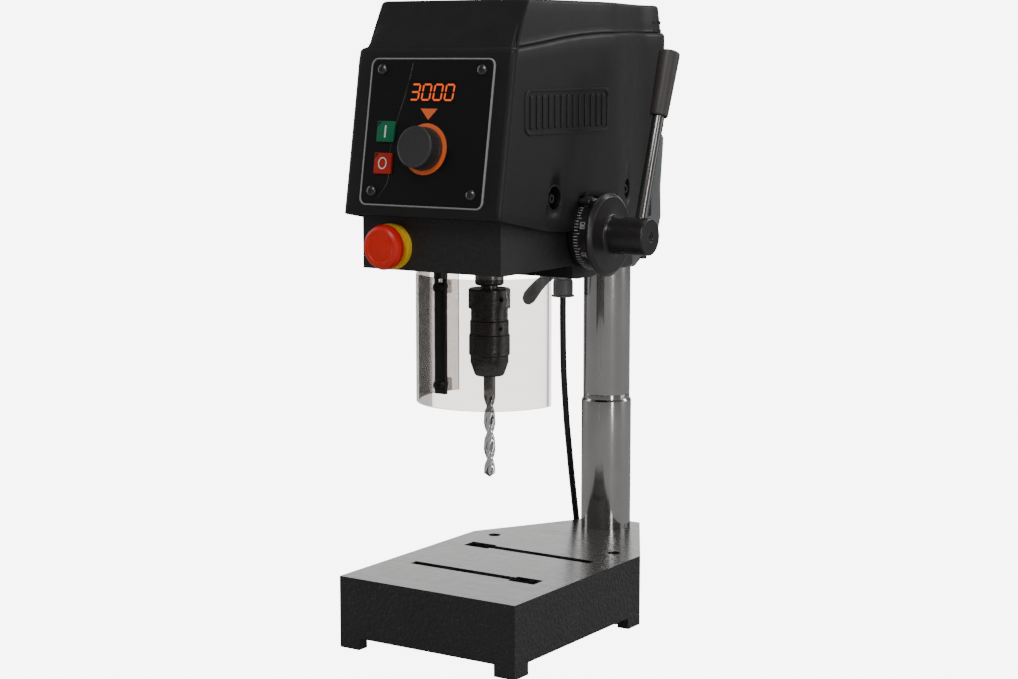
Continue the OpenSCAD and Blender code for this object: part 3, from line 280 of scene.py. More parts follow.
def make_materials():
    dark = (0.0065, 0.0065, 0.0068)
    M.update({
        "hood": surface("hood_plastic", dark, 0.46, second=(0.0085, 0.0085, 0.0088), patch_scale=14,
                        grain=(1500, 0.16, 0.0002), rough_range=0.04, specular=0.3),
        "trim": surface("hood_trim", (0.0075, 0.0075, 0.0078), 0.44, grain=(1500, 0.12, 0.0002),
                        specular=0.3),
        "casting": surface("textured_black", (0.0055, 0.0055, 0.0058), 0.55,
                           second=(0.01, 0.0098, 0.0095), patch_scale=300,
                           grain=(900, 0.4, 0.0003), speck=(1100, 0.66, (0.04, 0.039, 0.037))),
        "base_side": surface("base_paint", (0.006, 0.0063, 0.0065), 0.45,
                             second=(0.0085, 0.009, 0.0092), patch_scale=26,
                             grain=(300, 1.0, 0.0022), rough_range=0.05),
        "base_top": surface("ground_top", (0.15, 0.146, 0.141), 0.25, 0.85,
                            second=(0.185, 0.18, 0.175), patch_scale=30, patch_stretch=(6, 1, 1),
                            grain=(260, 0.05, 0.0002), stretch=(0.3, 14, 1), rough_range=0.06),
        "steel": surface("column_steel", (0.4, 0.388, 0.38), 0.13, 1.0,
                         second=(0.44, 0.427, 0.418), patch_scale=22,
                         grain=(60, 0.03, 0.0001), stretch=(1, 1, 60), rough_range=0.03),
        "satin_grey": surface("satin_grey", (0.125, 0.135, 0.14), 0.4, 0.25,
                              second=(0.15, 0.16, 0.165), patch_scale=24,
                              grain=(1000, 0.12, 0.0002), rough_range=0.04),
        "feed": surface("feed_black", (0.024, 0.022, 0.0215), 0.3, 0.35,
                        second=(0.029, 0.0265, 0.026), patch_scale=50,
                        grain=(1300, 0.05, 0.0001), rough_range=0.04),
        "rod": surface("lever_steel", (0.16, 0.155, 0.15), 0.2, 0.9,
                       grain=(200, 0.03, 0.0001), stretch=(1, 1, 6)),
        "grip": surface("grip", (0.04, 0.0345, 0.032), 0.46, second=(0.045, 0.039, 0.036),
                        patch_scale=40, grain=(1400, 0.1, 0.0002)),
        "chuck": surface("chuck_steel", (0.24, 0.24, 0.246), 0.3, 0.8,
                         second=(0.28, 0.28, 0.286), patch_scale=60,
                         grain=(240, 0.06, 0.0001), stretch=(1, 1, 12), rough_range=0.05),
        "turned": surface("turned_steel", (0.42, 0.42, 0.425), 0.3, 1.0,
                          grain=(260, 0.05, 0.0001), stretch=(1, 1, 14)),
        "drill": surface("drill_steel", (0.72, 0.715, 0.715), 0.13, 1.0,
                         grain=(400, 0.05, 0.0001), stretch=(1, 1, 10), rough_range=0.04),
        "black_steel": surface("black_steel", (0.075, 0.08, 0.085), 0.36, 0.4,
                               grain=(900, 0.06, 0.0001)),
        "fastener": surface("black_fasteners", (0.05, 0.05, 0.05), 0.3, 0.6,
                            grain=(800, 0.06, 0.0001)),
        "screw": surface("panel_screw", (0.09, 0.088, 0.082), 0.28, 0.9,
                         grain=(800, 0.05, 0.0001)),
        "panel": surface("panel", (0.005, 0.005, 0.0053), 0.3, specular=0.25,
                         grain=(1600, 0.02, 0.0001)),
        "rim": surface("panel_rim", (0.26, 0.262, 0.265), 0.4, grain=(900, 0.04, 0.0001)),
        "panel_line": surface("panel_line", (0.024, 0.024, 0.025), 0.35),
        "lens": surface("display_lens", (0.004, 0.0035, 0.0035), 0.28, specular=0.25),
        "led": surface("led_lit", (0.8, 0.10, 0.01), 0.4, glow=((1.0, 0.10, 0.008), 0.75)),
        "orange": surface("orange_ring", (0.87, 0.14, 0.025), 0.42, grain=(1200, 0.05, 0.0001)),
        "green": surface("green_button", (0.0015, 0.135, 0.06), 0.4, specular=0.3,
                         grain=(1200, 0.04, 0.0001)),
        "red": surface("red_button", (0.4, 0.016, 0.009), 0.4, specular=0.3,
                       grain=(1200, 0.04, 0.0001)),
        "mark": surface("white_mark", (0.72, 0.72, 0.7), 0.55),
        "tick": surface("tick_mark", (0.5, 0.5, 0.49), 0.55),
        "stop": surface("red_mushroom", (0.62, 0.013, 0.006), 0.34, second=(0.66, 0.017, 0.008),
                        patch_scale=60, specular=0.4, grain=(900, 0.03, 0.0001)),
        "yellow": surface("yellow_plastic", (0.8, 0.5, 0.02), 0.4, grain=(900, 0.04, 0.0001)),
        "knob": surface("knob", (0.026, 0.026, 0.0275), 0.4, grain=(1300, 0.08, 0.0001)),
        "knob_top": surface("knob_top", (0.028, 0.028, 0.0295), 0.42, grain=(1300, 0.05, 0.0001)),
        "gland": surface("grey_plastic", (0.17, 0.171, 0.173), 0.45, second=(0.19, 0.19, 0.193),
                         patch_scale=60, grain=(900, 0.08, 0.0001)),
        "lever_grey": surface("lever_grey", (0.38, 0.41, 0.42), 0.4, 0.1,
                              second=(0.42, 0.45, 0.46), patch_scale=60,
                              grain=(1000, 0.08, 0.0001)),
        "cable": surface("cable", (0.012, 0.012, 0.013), 0.42, grain=(1200, 0.06, 0.0001)),
        "plug": surface("plug", (0.016, 0.016, 0.017), 0.45, grain=(1000, 0.08, 0.0001)),
        # near-black painted shade: stands for the shade inside the vents, screw slots, hub dimples and the
        # button corner recess
        "painted_shade": surface("painted_shade_recess", (0.003, 0.003, 0.003), 0.7),
        "zinc": surface("zinc_parts", (0.4, 0.4, 0.41), 0.32, 0.9, grain=(600, 0.05, 0.0001)),
        "aluminium": surface("aluminium", (0.6, 0.61, 0.62), 0.34, 1.0,
                             grain=(260, 0.06, 0.0001), stretch=(1, 14, 1)),
        "motor": surface("motor_paint", (0.09, 0.095, 0.105), 0.45, grain=(900, 0.1, 0.0002)),
        "brass": surface("brass", (0.55, 0.38, 0.14), 0.3, 1.0, grain=(400, 0.05, 0.0001)),
        "board": surface("board", (0.02, 0.12, 0.055), 0.4, second=(0.03, 0.15, 0.07),
                         patch_scale=300),
        "belt": surface("belt", (0.012, 0.012, 0.012), 0.6, grain=(900, 0.15, 0.0002)),
        "clear": clear_sheet("clear_sheet"),
        "floor": pale_floor("studio_floor", bpy.context.scene.dp_stage.floor_glow,
                            bpy.context.scene.dp_stage.ambient),
    })


# ---- mesh helpers ---------------------------------------------------------

def obj_from(name, verts, faces, materials, sharp=math.radians(38), index=None):
    mesh = bpy.data.meshes.new(name)
    mesh.from_pydata([tuple(v) for v in verts], [], faces)
    for m in materials:
        mesh.materials.append(m)
    if index:
        mesh.polygons.foreach_set("material_index", index)
    mesh.validate()
    finish_shading(mesh, sharp)
    obj = bpy.data.objects.new(name, mesh)
    bpy.context.scene.collection.objects.link(obj)
    return obj


def finish_shading(mesh, sharp):
    bm = bmesh.new()
    bm.from_mesh(mesh)
    bmesh.ops.recalc_face_normals(bm, faces=bm.faces)
    bm.to_mesh(mesh)
    bm.free()
    mesh.shade_smooth()
    mesh.set_sharp_from_angle(angle=sharp)


def settle(obj):
    """Puts the modifiers' result into the mesh and removes them."""
    graph = bpy.context.evaluated_depsgraph_get()
    mesh = bpy.data.meshes.new_from_object(obj.evaluated_get(graph),
                                           preserve_all_data_layers=True, depsgraph=graph)
    old = obj.data
    obj.modifiers.clear()
    obj.data = mesh
    mesh.name = obj.name
    bpy.data.meshes.remove(old)
    return obj


def soften(obj, width, segments=3, angle=math.radians(32), weighted=False):
    bevel = obj.modifiers.new("Edge", "BEVEL")
    bevel.width = width
    bevel.segments = segments
    bevel.limit_method = "WEIGHT" if weighted else "ANGLE"
    bevel.angle_limit = angle
    bevel.harden_normals = True
    normals = obj.modifiers.new("Normals", "WEIGHTED_NORMAL")
    normals.keep_sharp = True
    return settle(obj)


def put(obj, body, slot=None, *nodes):
    """Hangs the piece on its body and takes over its CAD nodes. The slot argument is not used."""
    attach(obj, body)
    if nodes:
        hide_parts(*nodes)
    return obj


def piece(name, shape, finish, body, slot, *nodes, sharp=math.radians(38)):
    """A finished piece made of the shape's verts and faces, on its body."""
    return put(obj_from(name, *shape, [M[finish]], sharp), body, slot, *nodes)


def middle(node):
    """Centre of a node's box, as plain numbers."""
    lo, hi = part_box(node)
    return tuple((a + b) / 2 for a, b in zip(lo, hi))


def body_of(node):
    return frame["nodes"][node]["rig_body"]


def slot_of(node):
    return next(s["material_slot"] for s in frame["record"]["subparts"] if s["node"] == node)


def dress(node, material, width, segments=3, pick=None, extra=(), share=None):
    """A soft-edged copy of a CAD node that takes its place. pick chooses an extra material.
    share gives each edge its part of the width."""
    bm = bmesh.new()
    bm.from_mesh(frame["nodes"][node].data)
    bmesh.ops.remove_doubles(bm, verts=bm.verts, dist=2e-6)
    bmesh.ops.dissolve_limit(bm, angle_limit=math.radians(0.6), verts=bm.verts, edges=bm.edges)
    if share:
        weight = bm.edges.layers.float.new("bevel_weight_edge")
        for e in bm.edges:
            e[weight] = share(e)
    mesh = bpy.data.meshes.new("dressed_" + node)
    bm.to_mesh(mesh)
    bm.free()
    mesh.materials.clear()
    for m in (material, *extra):
        mesh.materials.append(m)
    mesh.polygons.foreach_set("material_index", [0] * len(mesh.polygons))
    mesh.shade_smooth()
    mesh.set_sharp_from_angle(angle=math.radians(30))
    obj = bpy.data.objects.new("dressed_" + node, mesh)
    bpy.context.scene.collection.objects.link(obj)
    soften(obj, width, segments, weighted=bool(share))
    if pick:
        for p in obj.data.polygons:
            p.material_index = pick(p)
    return put(obj, body_of(node), slot_of(node), node)


def paint(node, material):
    """Gives a CAD node that stays a finished material."""
    obj = frame["nodes"][node]
    if not obj.material_slots:
        obj.data.materials.append(material)
    for s in obj.material_slots:
        s.link = "OBJECT"
        s.material = material


def frame_at(origin, axis, side=None):
    """Matrix whose z runs along axis, from origin."""
    z = Vector(axis).normalized()
    x = Vector(side).normalized() if side else z.orthogonal().normalized()
    x = (x - z * x.dot(z)).normalized()
    y = z.cross(x)
    return Matrix.Translation(origin) @ Matrix((x, y, z)).transposed().to_4x4()


def revolve(profile, matrix, n=96):
    """Verts and faces of (radius, height) pairs turned round the matrix's z axis."""
    verts, faces, rows = [], [], []
    for r, h in profile:
        if r < 1e-7:
            rows.append([len(verts)])
            verts.append(matrix @ Vector((0, 0, h)))
        else:
            rows.append(list(range(len(verts), len(verts) + n)))
            verts += [matrix @ Vector((r * math.cos(2 * math.pi * k / n),
                                       r * math.sin(2 * math.pi * k / n), h)) for k in range(n)]
    for a, b in zip(rows, rows[1:]):
        for k in range(n):
            j = (k + 1) % n
            ring = [a[k % len(a)], a[j % len(a)], b[j % len(b)], b[k % len(b)]]
            face = [v for i, v in enumerate(ring) if v not in ring[:i]]
            if len(face) > 2:
                faces.append(face)
    return verts, faces


def rounded(profile, radius, steps=5):
    """The profile with each inner corner replaced by an arc of up to radius."""
    out = [Vector(profile[0])]
    for a, b, c in zip(profile, profile[1:], profile[2:]):
        a, b, c = Vector(a), Vector(b), Vector(c)
        u, v = a - b, c - b
        turn = u.angle(v)
        if turn > math.radians(172):
            out.append(b)
            continue
        reach = min(radius / math.tan(turn / 2), 0.45 * u.length, 0.45 * v.length)
        p, q = b + u.normalized() * reach, b + v.normalized() * reach
        for k in range(steps + 1):
            t = k / steps
            out.append(p * (1 - t) ** 2 + b * 2 * t * (1 - t) + q * t * t)
    out.append(Vector(profile[-1]))
    return [tuple(p) for p in out]


def loft(rings, closed=True, cap_start=False, cap_end=False):
    n = len(rings[0])
    verts = [p for r in rings for p in r]
    faces = []
    for i in range(len(rings) - 1):
        for k in range(n if closed else n - 1):
            j = (k + 1) % n
            faces.append([i * n + k, i * n + j, (i + 1) * n + j, (i + 1) * n + k])
    if cap_start:
        faces.append(list(range(n))[::-1])
    if cap_end:
        faces.append([(len(rings) - 1) * n + k for k in range(n)])
    return verts, faces


def rounded_rect(w, h, r, steps=6):
    out = []
    for cx, cy, a0 in ((w / 2 - r, h / 2 - r, 0), (-w / 2 + r, h / 2 - r, 90),
                       (-w / 2 + r, -h / 2 + r, 180), (w / 2 - r, -h / 2 + r, 270)):
        for k in range(steps + 1):
            a = math.radians(a0 + 90 * k / steps)
            out.append((cx + r * math.cos(a), cy + r * math.sin(a)))
    return out


def slab(w, h, r, z0, z1, edge, matrix, at=(0, 0), steps=6):
    """A rounded plate with a softened front edge."""
    rings = []
    for inset, z in [(0, z0)] + [(edge * (1 - math.cos(a)), z1 - edge * (1 - math.sin(a)))
                                 for a in (0, 0.39, 0.79, 1.18, math.pi / 2)]:
        rr = max(r - inset, 0.05 * MM)
        rings.append([matrix @ Vector((x + at[0], y + at[1], z)) for x, y in
                      rounded_rect(w - 2 * inset, h - 2 * inset, rr, steps)])
    return loft(rings, cap_start=True, cap_end=True)


def join(parts):
    verts, faces = [], []
    for v, f in parts:
        faces += [[i + len(verts) for i in face] for face in f]
        verts += list(v)
    return verts, faces


def prism(outline, z0, z1, matrix):
    rings = [[matrix @ Vector((x, y, z)) for x, y in outline] for z in (z0, z1)]
    return loft(rings, cap_start=True, cap_end=True)


def sweep(points, radii, n=12):
    """A tube along points, with its frame carried along so that it never twists."""
    pts = [Vector(p) for p in points]
    side = None
    rings = []
    for i, p in enumerate(pts):
        t = (pts[min(i + 1, len(pts) - 1)] - pts[max(i - 1, 0)]).normalized()
        side = (side - t * side.dot(t)).normalized() if side else t.orthogonal().normalized()
        up = t.cross(side)
        r = radii[i] if isinstance(radii, list) else radii
        rings.append([p + side * r * math.cos(2 * math.pi * k / n)
                      + up * r * math.sin(2 * math.pi * k / n) for k in range(n)])
    return loft(rings, cap_start=True, cap_end=True)


def smooth_path(points, step):
    """Points at even steps along a smooth curve through the given ones."""
    p = [Vector(q) for q in points]
    p = [2 * p[0] - p[1]] + p + [2 * p[-1] - p[-2]]
    dense = []
    for a, b, c, d in zip(p, p[1:], p[2:], p[3:]):
        for k in range(12):
            t = k / 12
            dense.append(0.5 * (2 * b + (c - a) * t + (2 * a - 5 * b + 4 * c - d) * t * t
                                + (3 * b - a - 3 * c + d) * t ** 3))
    dense.append(p[-2])
    out, run = [dense[0]], 0.0
    for a, b in zip(dense, dense[1:]):
        run += (b - a).length
        if run >= step:
            out.append(b)
            run = 0.0
    if (out[-1] - dense[-1]).length < step / 2:
        out.pop()
    return out + [dense[-1]]


def subtract(obj, cutter):
    cut = obj.modifiers.new("Cut", "BOOLEAN")
    cut.operation = "DIFFERENCE"
    cut.solver = "EXACT"
    cut.object = cutter
    settle(obj)
    bpy.data.objects.remove(cutter)
    return obj


def cutter_rod(origin, axis, radius, long):
    v, f = revolve([(0, 0), (radius, 0), (radius, long), (0, long)], frame_at(origin, axis), 72)
    return obj_from("cutter", v, f, [])


def cutter_box(lo, hi):
    xs, ys, zs = zip(lo, hi)
    v = [(x, y, z) for z in zs for x, y in ((xs[0], ys[0]), (xs[1], ys[0]), (xs[1], ys[1]), (xs[0], ys[1]))]
    f = [[3, 2, 1, 0], [4, 5, 6, 7], [0, 1, 5, 4], [1, 2, 6, 5], [2, 3, 7, 6], [3, 0, 4, 7]]
    return obj_from("cutter", v, f, [])


# ---- repeated pieces ------------------------------------------------------

def node_of(tree, kind, **inputs):
    node = tree.nodes.new(kind)
    for key, value in inputs.items():
        if isinstance(value, bpy.types.NodeSocket):
            tree.links.new(value, node.inputs[int(key[1:])] if key[0] == "_" else node.inputs[key])
        else:
            (node.inputs[int(key[1:])] if key[0] == "_" else node.inputs[key]).default_value = value
    return node


def math_of(tree, operation, a, b=0.0):
    node = node_of(tree, "ShaderNodeMath", _0=a, _1=b)
    node.operation = operation
    return node.outputs[0]


def repeat_group(name, round_axis):
    """Blocks of one size, either round the z axis or along x. Its inputs are named."""
    tree = bpy.data.node_groups.new(name, "GeometryNodeTree")
    face = tree.interface
    sockets = {}
    for label, kind, value in (("Count", "NodeSocketInt", 10), ("Start", "NodeSocketFloat", 0.0),
                               ("Step", "NodeSocketFloat", 0.1), ("Radius", "NodeSocketFloat", 0.01),
                               ("Size", "NodeSocketVector", (0.001, 0.001, 0.001)),
                               ("Material", "NodeSocketMaterial", None)):
        socket = face.new_socket(label, in_out="INPUT", socket_type=kind)
        if value is not None:
            socket.default_value = value
        sockets[label] = socket.identifier
    face.new_socket("Geometry", in_out="OUTPUT", socket_type="NodeSocketGeometry")
    given = tree.nodes.new("NodeGroupInput").outputs
    line = node_of(tree, "GeometryNodeMeshLine", Count=given["Count"])
    index = tree.nodes.new("GeometryNodeInputIndex").outputs[0]
    along = math_of(tree, "ADD", math_of(tree, "MULTIPLY", index, given["Step"]), given["Start"])
    place = node_of(tree, "ShaderNodeCombineXYZ")
    turn = node_of(tree, "ShaderNodeCombineXYZ")
    if round_axis:
        x = math_of(tree, "MULTIPLY", math_of(tree, "COSINE", along), given["Radius"])
        y = math_of(tree, "MULTIPLY", math_of(tree, "SINE", along), given["Radius"])
        tree.links.new(x, place.inputs[0])
        tree.links.new(y, place.inputs[1])
        tree.links.new(along, turn.inputs[2])
    else:
        tree.links.new(along, place.inputs[0])
    moved = node_of(tree, "GeometryNodeSetPosition", Geometry=line.outputs[0], Position=place.outputs[0])
    cube = node_of(tree, "GeometryNodeMeshCube", Size=given["Size"])
    copies = node_of(tree, "GeometryNodeInstanceOnPoints", Points=moved.outputs[0],
                     Instance=cube.outputs[0], Rotation=turn.outputs[0])
    real = node_of(tree, "GeometryNodeRealizeInstances", Geometry=copies.outputs[0])
    done = node_of(tree, "GeometryNodeSetMaterial", Geometry=real.outputs[0], Material=given["Material"])
    out = tree.nodes.new("NodeGroupOutput")
    tree.links.new(done.outputs[0], out.inputs[0])
    return tree, sockets


def repeated(name, group, values, matrix):
    """An object made by a repeat group, converted to a plain mesh and put in place."""
    tree, sockets = group
    obj = bpy.data.objects.new(name, bpy.data.meshes.new(name))
    bpy.context.scene.collection.objects.link(obj)
    modifier = obj.modifiers.new("Repeat", "NODES")
    modifier.node_group = tree
    for label, value in values.items():
        modifier[sockets[label]] = value
    obj.update_tag()
    bpy.context.view_layer.update()
    settle(obj)
    obj.data.transform(matrix)
    return obj


# ---- hood -----------------------------------------------------------------

TAPER_START = 0.125   # where the sides begin to taper, ahead of the column
TAPER_RUN = (31.4, 105.8)   # how far a side comes in, over how long
CASTING_SIDE = 0.072   # where the side cuts begin, inside the hood


def head_sizes():
    lo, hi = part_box("head_cover")
    column_y = middle("column")[1]
    return {"half": hi.x, "front": lo.y, "top": hi.z, "column_y": column_y, "rear_r": hi.y - column_y,
            "head_z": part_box("quill")[0].z - 1 * MM}


def interpolate(x, table):
    if x <= table[0][0]:
        return table[0][1]
    for (a, va), (b, vb) in zip(table, table[1:]):
        if x <= b:
            t = (x - a) / (b - a)
            return va + (vb - va) * t
    return table[-1][1]


def hood_plan(size, settings, half, front, rear_r, corner):
    """Right half of the hood's plan, evenly spaced, from the front's middle to the rear's."""
    cy = size["column_y"]
    turn = settings.rear_turn
    taper_y = cy - TAPER_START
    control = [Vector((x * (half - corner) / 8, front)) for x in range(9)]
    control += [Vector((half - corner + corner * math.sin(a), front + corner - corner * math.cos(a)))
                for a in [math.radians(15 * k) for k in range(1, 7)]]
    run = [Vector((half, front + corner)), Vector((half, taper_y)),
           Vector((rear_r * math.cos(turn), cy - rear_r * math.sin(turn)))]
    run += [Vector((rear_r * math.cos(a), cy - rear_r * math.sin(a)))
            for a in [turn - math.radians(5) * k for k in range(1, 60)] if a > -math.pi / 2 + 0.03]
    run.append(Vector((0, cy + rear_r)))
    total = sum((b - a).length for a, b in zip(run, run[1:]))
    count, walked, even = 96, 0.0, []
    seg, gap = 0, total / count
    for k in range(1, count):
        want = gap * k
        while seg < len(run) - 2 and walked + (run[seg + 1] - run[seg]).length < want:
            walked += (run[seg + 1] - run[seg]).length
            seg += 1
        a, b = run[seg], run[seg + 1]
        even.append(a + (b - a).normalized() * (want - walked))
    for _ in range(settings.soften):
        even = [even[0]] + [(p + 2 * q + r) / 4 for p, q, r in zip(even, even[1:], even[2:])] + [even[-1]]
    return control + even + [run[-1]]


def hood_rings(size, settings):
    head_z = size["head_z"]
    front_low = head_z + 49.4 * MM
    shoulder_front = head_z + 194.6 * MM
    low_z = [(size["front"], front_low), (-0.143, head_z + 35.5 * MM), (-0.115, head_z + 33 * MM)]
    shoulder_z = [(-0.2, shoulder_front), (-0.157, head_z + 199.3 * MM), (-0.117, head_z + 204.2 * MM),
                  (-0.083, head_z + 207.4 * MM), (-0.05, head_z + 209.3 * MM), (0.04, head_z + 211 * MM)]
    lean = math.tan(settings.lean)

    def front_at(z):
        return size["front"] + (z - front_low) * lean

    def ring(height, inset, front=None, rear_in=None, corner=None):
        """One level: height gives z from y, inset moves the plan inwards."""
        f = front if front is not None else front_at(height(size["front"])) + inset
        rr = size["rear_r"] - (rear_in if rear_in is not None else inset)
        c = max((corner or settings.corner) - 0.5 * inset, 1.2 * MM)
        right = hood_plan(size, settings, size["half"] - inset, f, rr, c)
        left = [Vector((-p.x, p.y)) for p in reversed(right[1:-1])]
        return [Vector((p.x, p.y, height(p.y))) for p in right + left]

    def low(dz):
        return lambda y: interpolate(y, low_z) + dz

    def shoulder(dz):
        return lambda y: interpolate(y, shoulder_z) + dz

    def between(t):
        return lambda y: interpolate(y, low_z) * (1 - t) + interpolate(y, shoulder_z) * t

    roof = size["top"] - 9 * MM
    rings = [ring(lambda y: roof, settings.wall + 9 * MM, front_at(roof) + 22 * MM, corner=3.6 * MM)]
    rings += [ring(shoulder(-settings.wall), settings.wall + 2 * MM,
                   front_at(shoulder_front) + settings.wall)]
    rings += [ring(between(t), settings.wall) for t in (0.8, 0.5, 0.2)]
    rings.append(ring(low(0.8 * MM), settings.wall))
    e = 1.0 * MM
    rings += [ring(low(0.2 * MM), settings.wall - 0.6 * MM), ring(low(0), settings.wall - 1.2 * MM),
              ring(low(0), e), ring(low(0.3 * e), 0.3 * e), ring(low(e), 0)]
    rings += [ring(between(t), 0) for t in (0.06, 0.2, 0.35, 0.5, 0.65, 0.8, 0.92)]
    r = settings.shoulder
    for a in (0, 22, 45, 67, 88):
        a = math.radians(a)
        rings.append(ring(shoulder(r * (math.sin(a) - 1)), r * (1 - math.cos(a)),
                          front_at(shoulder_front) + r * (1 - math.cos(a))))
    cap_front, cap_lean, cap_corner, top = -0.1848, 17.2 * MM, 3.2 * MM, size["top"]
    step, fillet = 4.0 * MM, 2.2 * MM
    for a in (10, 35, 62, 90):
        a = math.radians(a)
        rings.append(ring(shoulder(fillet * (1 - math.cos(a))), step + fillet * (math.sin(a) - 1) + 0.4 * MM,
                          cap_front + fillet * (math.sin(a) - 1), corner=cap_corner))
    edge = settings.top_edge
    for t in (0.15, 0.4, 0.7, 1.0):
        rings.append(ring(lambda y, t=t: (interpolate(y, shoulder_z) + fillet) * (1 - t) + (top - edge) * t,
                          step + 0.4 * MM + 1.2 * MM * t, cap_front + cap_lean * t,
                          rear_in=step + 2.6 * MM * t, corner=cap_corner))
    for a in (20, 45, 68, 90):
        a = math.radians(a)
        back = edge * (1 - math.cos(a))
        rings.append(ring(lambda y, a=a: top - edge * (1 - math.sin(a)), step + 1.6 * MM + back,
                          cap_front + cap_lean + back * 1.1 + 1.8 * MM * math.sin(a),
                          rear_in=step + 2.6 * MM + back, corner=3.6 * MM))
    return rings


def pocket(origin, axis, radius, depth):
    """A round recess with a soft mouth that stands just proud of the wall."""
    profile = rounded([(radius + 1.6 * MM, -0.2 * MM), (radius + 1.2 * MM, 0.35 * MM),
                       (radius - 0.4 * MM, 0.35 * MM), (radius - 0.6 * MM, -2 * MM),
                       (radius - 0.8 * MM, -depth), (0, -depth)], 0.8 * MM, 4)
    return revolve(profile, frame_at(origin, axis), 64)


class DRILLPRESS_OT_hood(bpy.types.Operator):
    """Build the hood with its soft shoulder, side recesses, ribs and vents"""
    bl_idname = "drillpress.hood"
    bl_label = "Hood"

    def execute(self, context):
        settings = context.scene.dp_hood
        size = head_sizes()
        verts, faces = loft(hood_rings(size, settings), cap_start=True, cap_end=True)
        hood = obj_from("hood", verts, faces, [M["hood"]], math.radians(50))
        head_z, cy = size["head_z"], size["column_y"]
        feed = Vector((0, *middle("feed_shaft")[1:]))
        wide = 0.12   # past the hood's side
        subtract(hood, cutter_box((-0.2, cy - 9 * MM, 0.2), (0.2, cy + 0.1, head_z + 119 * MM)))
        ring_r = (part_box("depth_ring")[1].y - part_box("depth_ring")[0].y) / 2 + 1.5 * MM
        cup_r = (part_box("spring_cover")[1].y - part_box("spring_cover")[0].y) / 2 + 1.5 * MM
        subtract(hood, cutter_rod((CASTING_SIDE, feed.y, feed.z), (1, 0, 0), ring_r, wide))
        subtract(hood, cutter_rod((-CASTING_SIDE, feed.y, feed.z), (-1, 0, 0), cup_r, wide))
        subtract(hood, cutter_rod((CASTING_SIDE, *middle("depth_pointer")[1:]), (1, 0, 0), 5 * MM, wide))
        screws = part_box("cover_screws")
        screw_z = middle("cover_screws")[2]
        parts = []
        for s in (-1, 1):
            front = Vector((s * size["half"], screws[0].y + 3.9 * MM, screw_z))
            subtract(hood, cutter_rod(front - Vector((s * 20 * MM, 0, 0)), (s, 0, 0), 10.8 * MM, wide))
            parts.append(pocket(front, (s, 0, 0), 10.8 * MM, 10 * MM))
            slope = math.atan2(*TAPER_RUN)
            y = screws[1].y - 3.9 * MM
            x = size["half"] - (y - (cy - TAPER_START)) * math.tan(slope)
            normal = Vector((s * math.cos(slope), math.sin(slope), 0))
            rear = Vector((s * x, y, screw_z + 0.8 * MM))
            subtract(hood, cutter_rod(rear - normal * 20 * MM, normal, 10 * MM, wide))
            parts.append(pocket(rear, normal, 10 * MM, 13 * MM))
        put(hood, "head", "hood_plastic", "head_cover")
        piece("hood_pockets", join(parts), "hood", "head", "hood_plastic")

        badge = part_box("side_badges")
        high, long = badge[1].z - badge[0].z, badge[1].y - badge[0].y
        centre = Vector((0, *middle("side_badges")[1:]))
        group = repeat_group("ribs_along", False)
        for s in (-1, 1):
            side = frame_at(centre + Vector((s * size["half"], 0, 0)), (s, 0, 0), (0, s, 0))
            outer = rounded_rect(long, high, 7 * MM)
            bands = []
            for inset, z in ((0, -0.3 * MM), (0, 0.5 * MM), (0.5 * MM, 1.0 * MM), (2.2 * MM, 1.0 * MM),
                             (2.8 * MM, 0.4 * MM), (2.8 * MM, 0.05 * MM)):
                bands.append([side @ Vector((x * (1 - 2 * inset / long), y * (1 - 2 * inset / high), z))
                              for x, y in outer])
            name = "left" if s < 0 else "right"
            piece("badge_rim_" + name, loft(bands), "trim", "head", "hood_trim", "side_badges")
            ribs = repeated("badge_ribs_" + name, group,
                            {"Count": 13, "Start": -6 * 10 * MM, "Step": 10 * MM,
                             "Size": (4.2 * MM, high - 11 * MM, 2.4 * MM), "Material": M["trim"]}, side)
            soften(ribs, 0.9 * MM, 3)
            put(ribs, "head", "hood_trim")

        # the vent slots are near-black blocks in painted shade, not openings cut through the hood
        around = repeat_group("vents_round", True)
        for row, z in enumerate((size["top"] - 16.5 * MM, size["top"] - 24.5 * MM)):
            radius = size["rear_r"] - 6.1 * MM + (0.5 * MM if row else 0)
            slots = repeated("vent_slots_%d" % row, around,
                             {"Count": 15, "Start": math.radians(2), "Step": math.radians(12.57),
                              "Radius": radius, "Size": (2.2 * MM, 5.2 * MM, 3.4 * MM),
                              "Material": M["painted_shade"]}, Matrix.Translation((0, cy, z)))
            soften(slots, 0.8 * MM, 3)
            put(slots, "head", "hood_plastic")
        return {"FINISHED"}


# ---- base, column and head casting ---------------------------------------

COLUMN_STEP = 0.199   # height at which the column gets thinner


class DRILLPRESS_OT_base(bpy.types.Operator):
    """Dress the base casting: rough painted sides, ground top, soft cast edges"""
    bl_idname = "drillpress.base"
    bl_label = "Base"

    def execute(self, context):
        edge = context.scene.dp_edge
        lo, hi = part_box("base_casting")
        top = hi.z

        def share(e):
            if len(e.link_faces) != 2 or e.calc_face_angle(0) < math.radians(32):
                return 0.0
            a, b = e.verts[0].co, e.verts[1].co
            centre, along = (a + b) / 2, (b - a).normalized()
            outer = abs(centre.x) > hi.x - 0.1 * MM or abs(centre.y - lo.y) < 0.1 * MM
            if abs(along.z) > 0.99:
                return 1.0 if outer and (b - a).length > 0.3 * top and e.is_convex else 0.1
            foot = centre.z < 0.3 * top and (b - a).length > 6 * MM and (b - a).length < 30 * MM
            square = e.calc_face_angle(0) > math.radians(80)
            return 0.7 if foot and square and not outer else edge.cast / edge.corner

        def ground(p):
            return 1 if p.normal.z > 0.85 and p.center.z > top - 0.5 * MM else 0

        dress("base_casting", M["base_side"], edge.corner, 5, ground, (M["base_top"],), share)
        return {"FINISHED"}


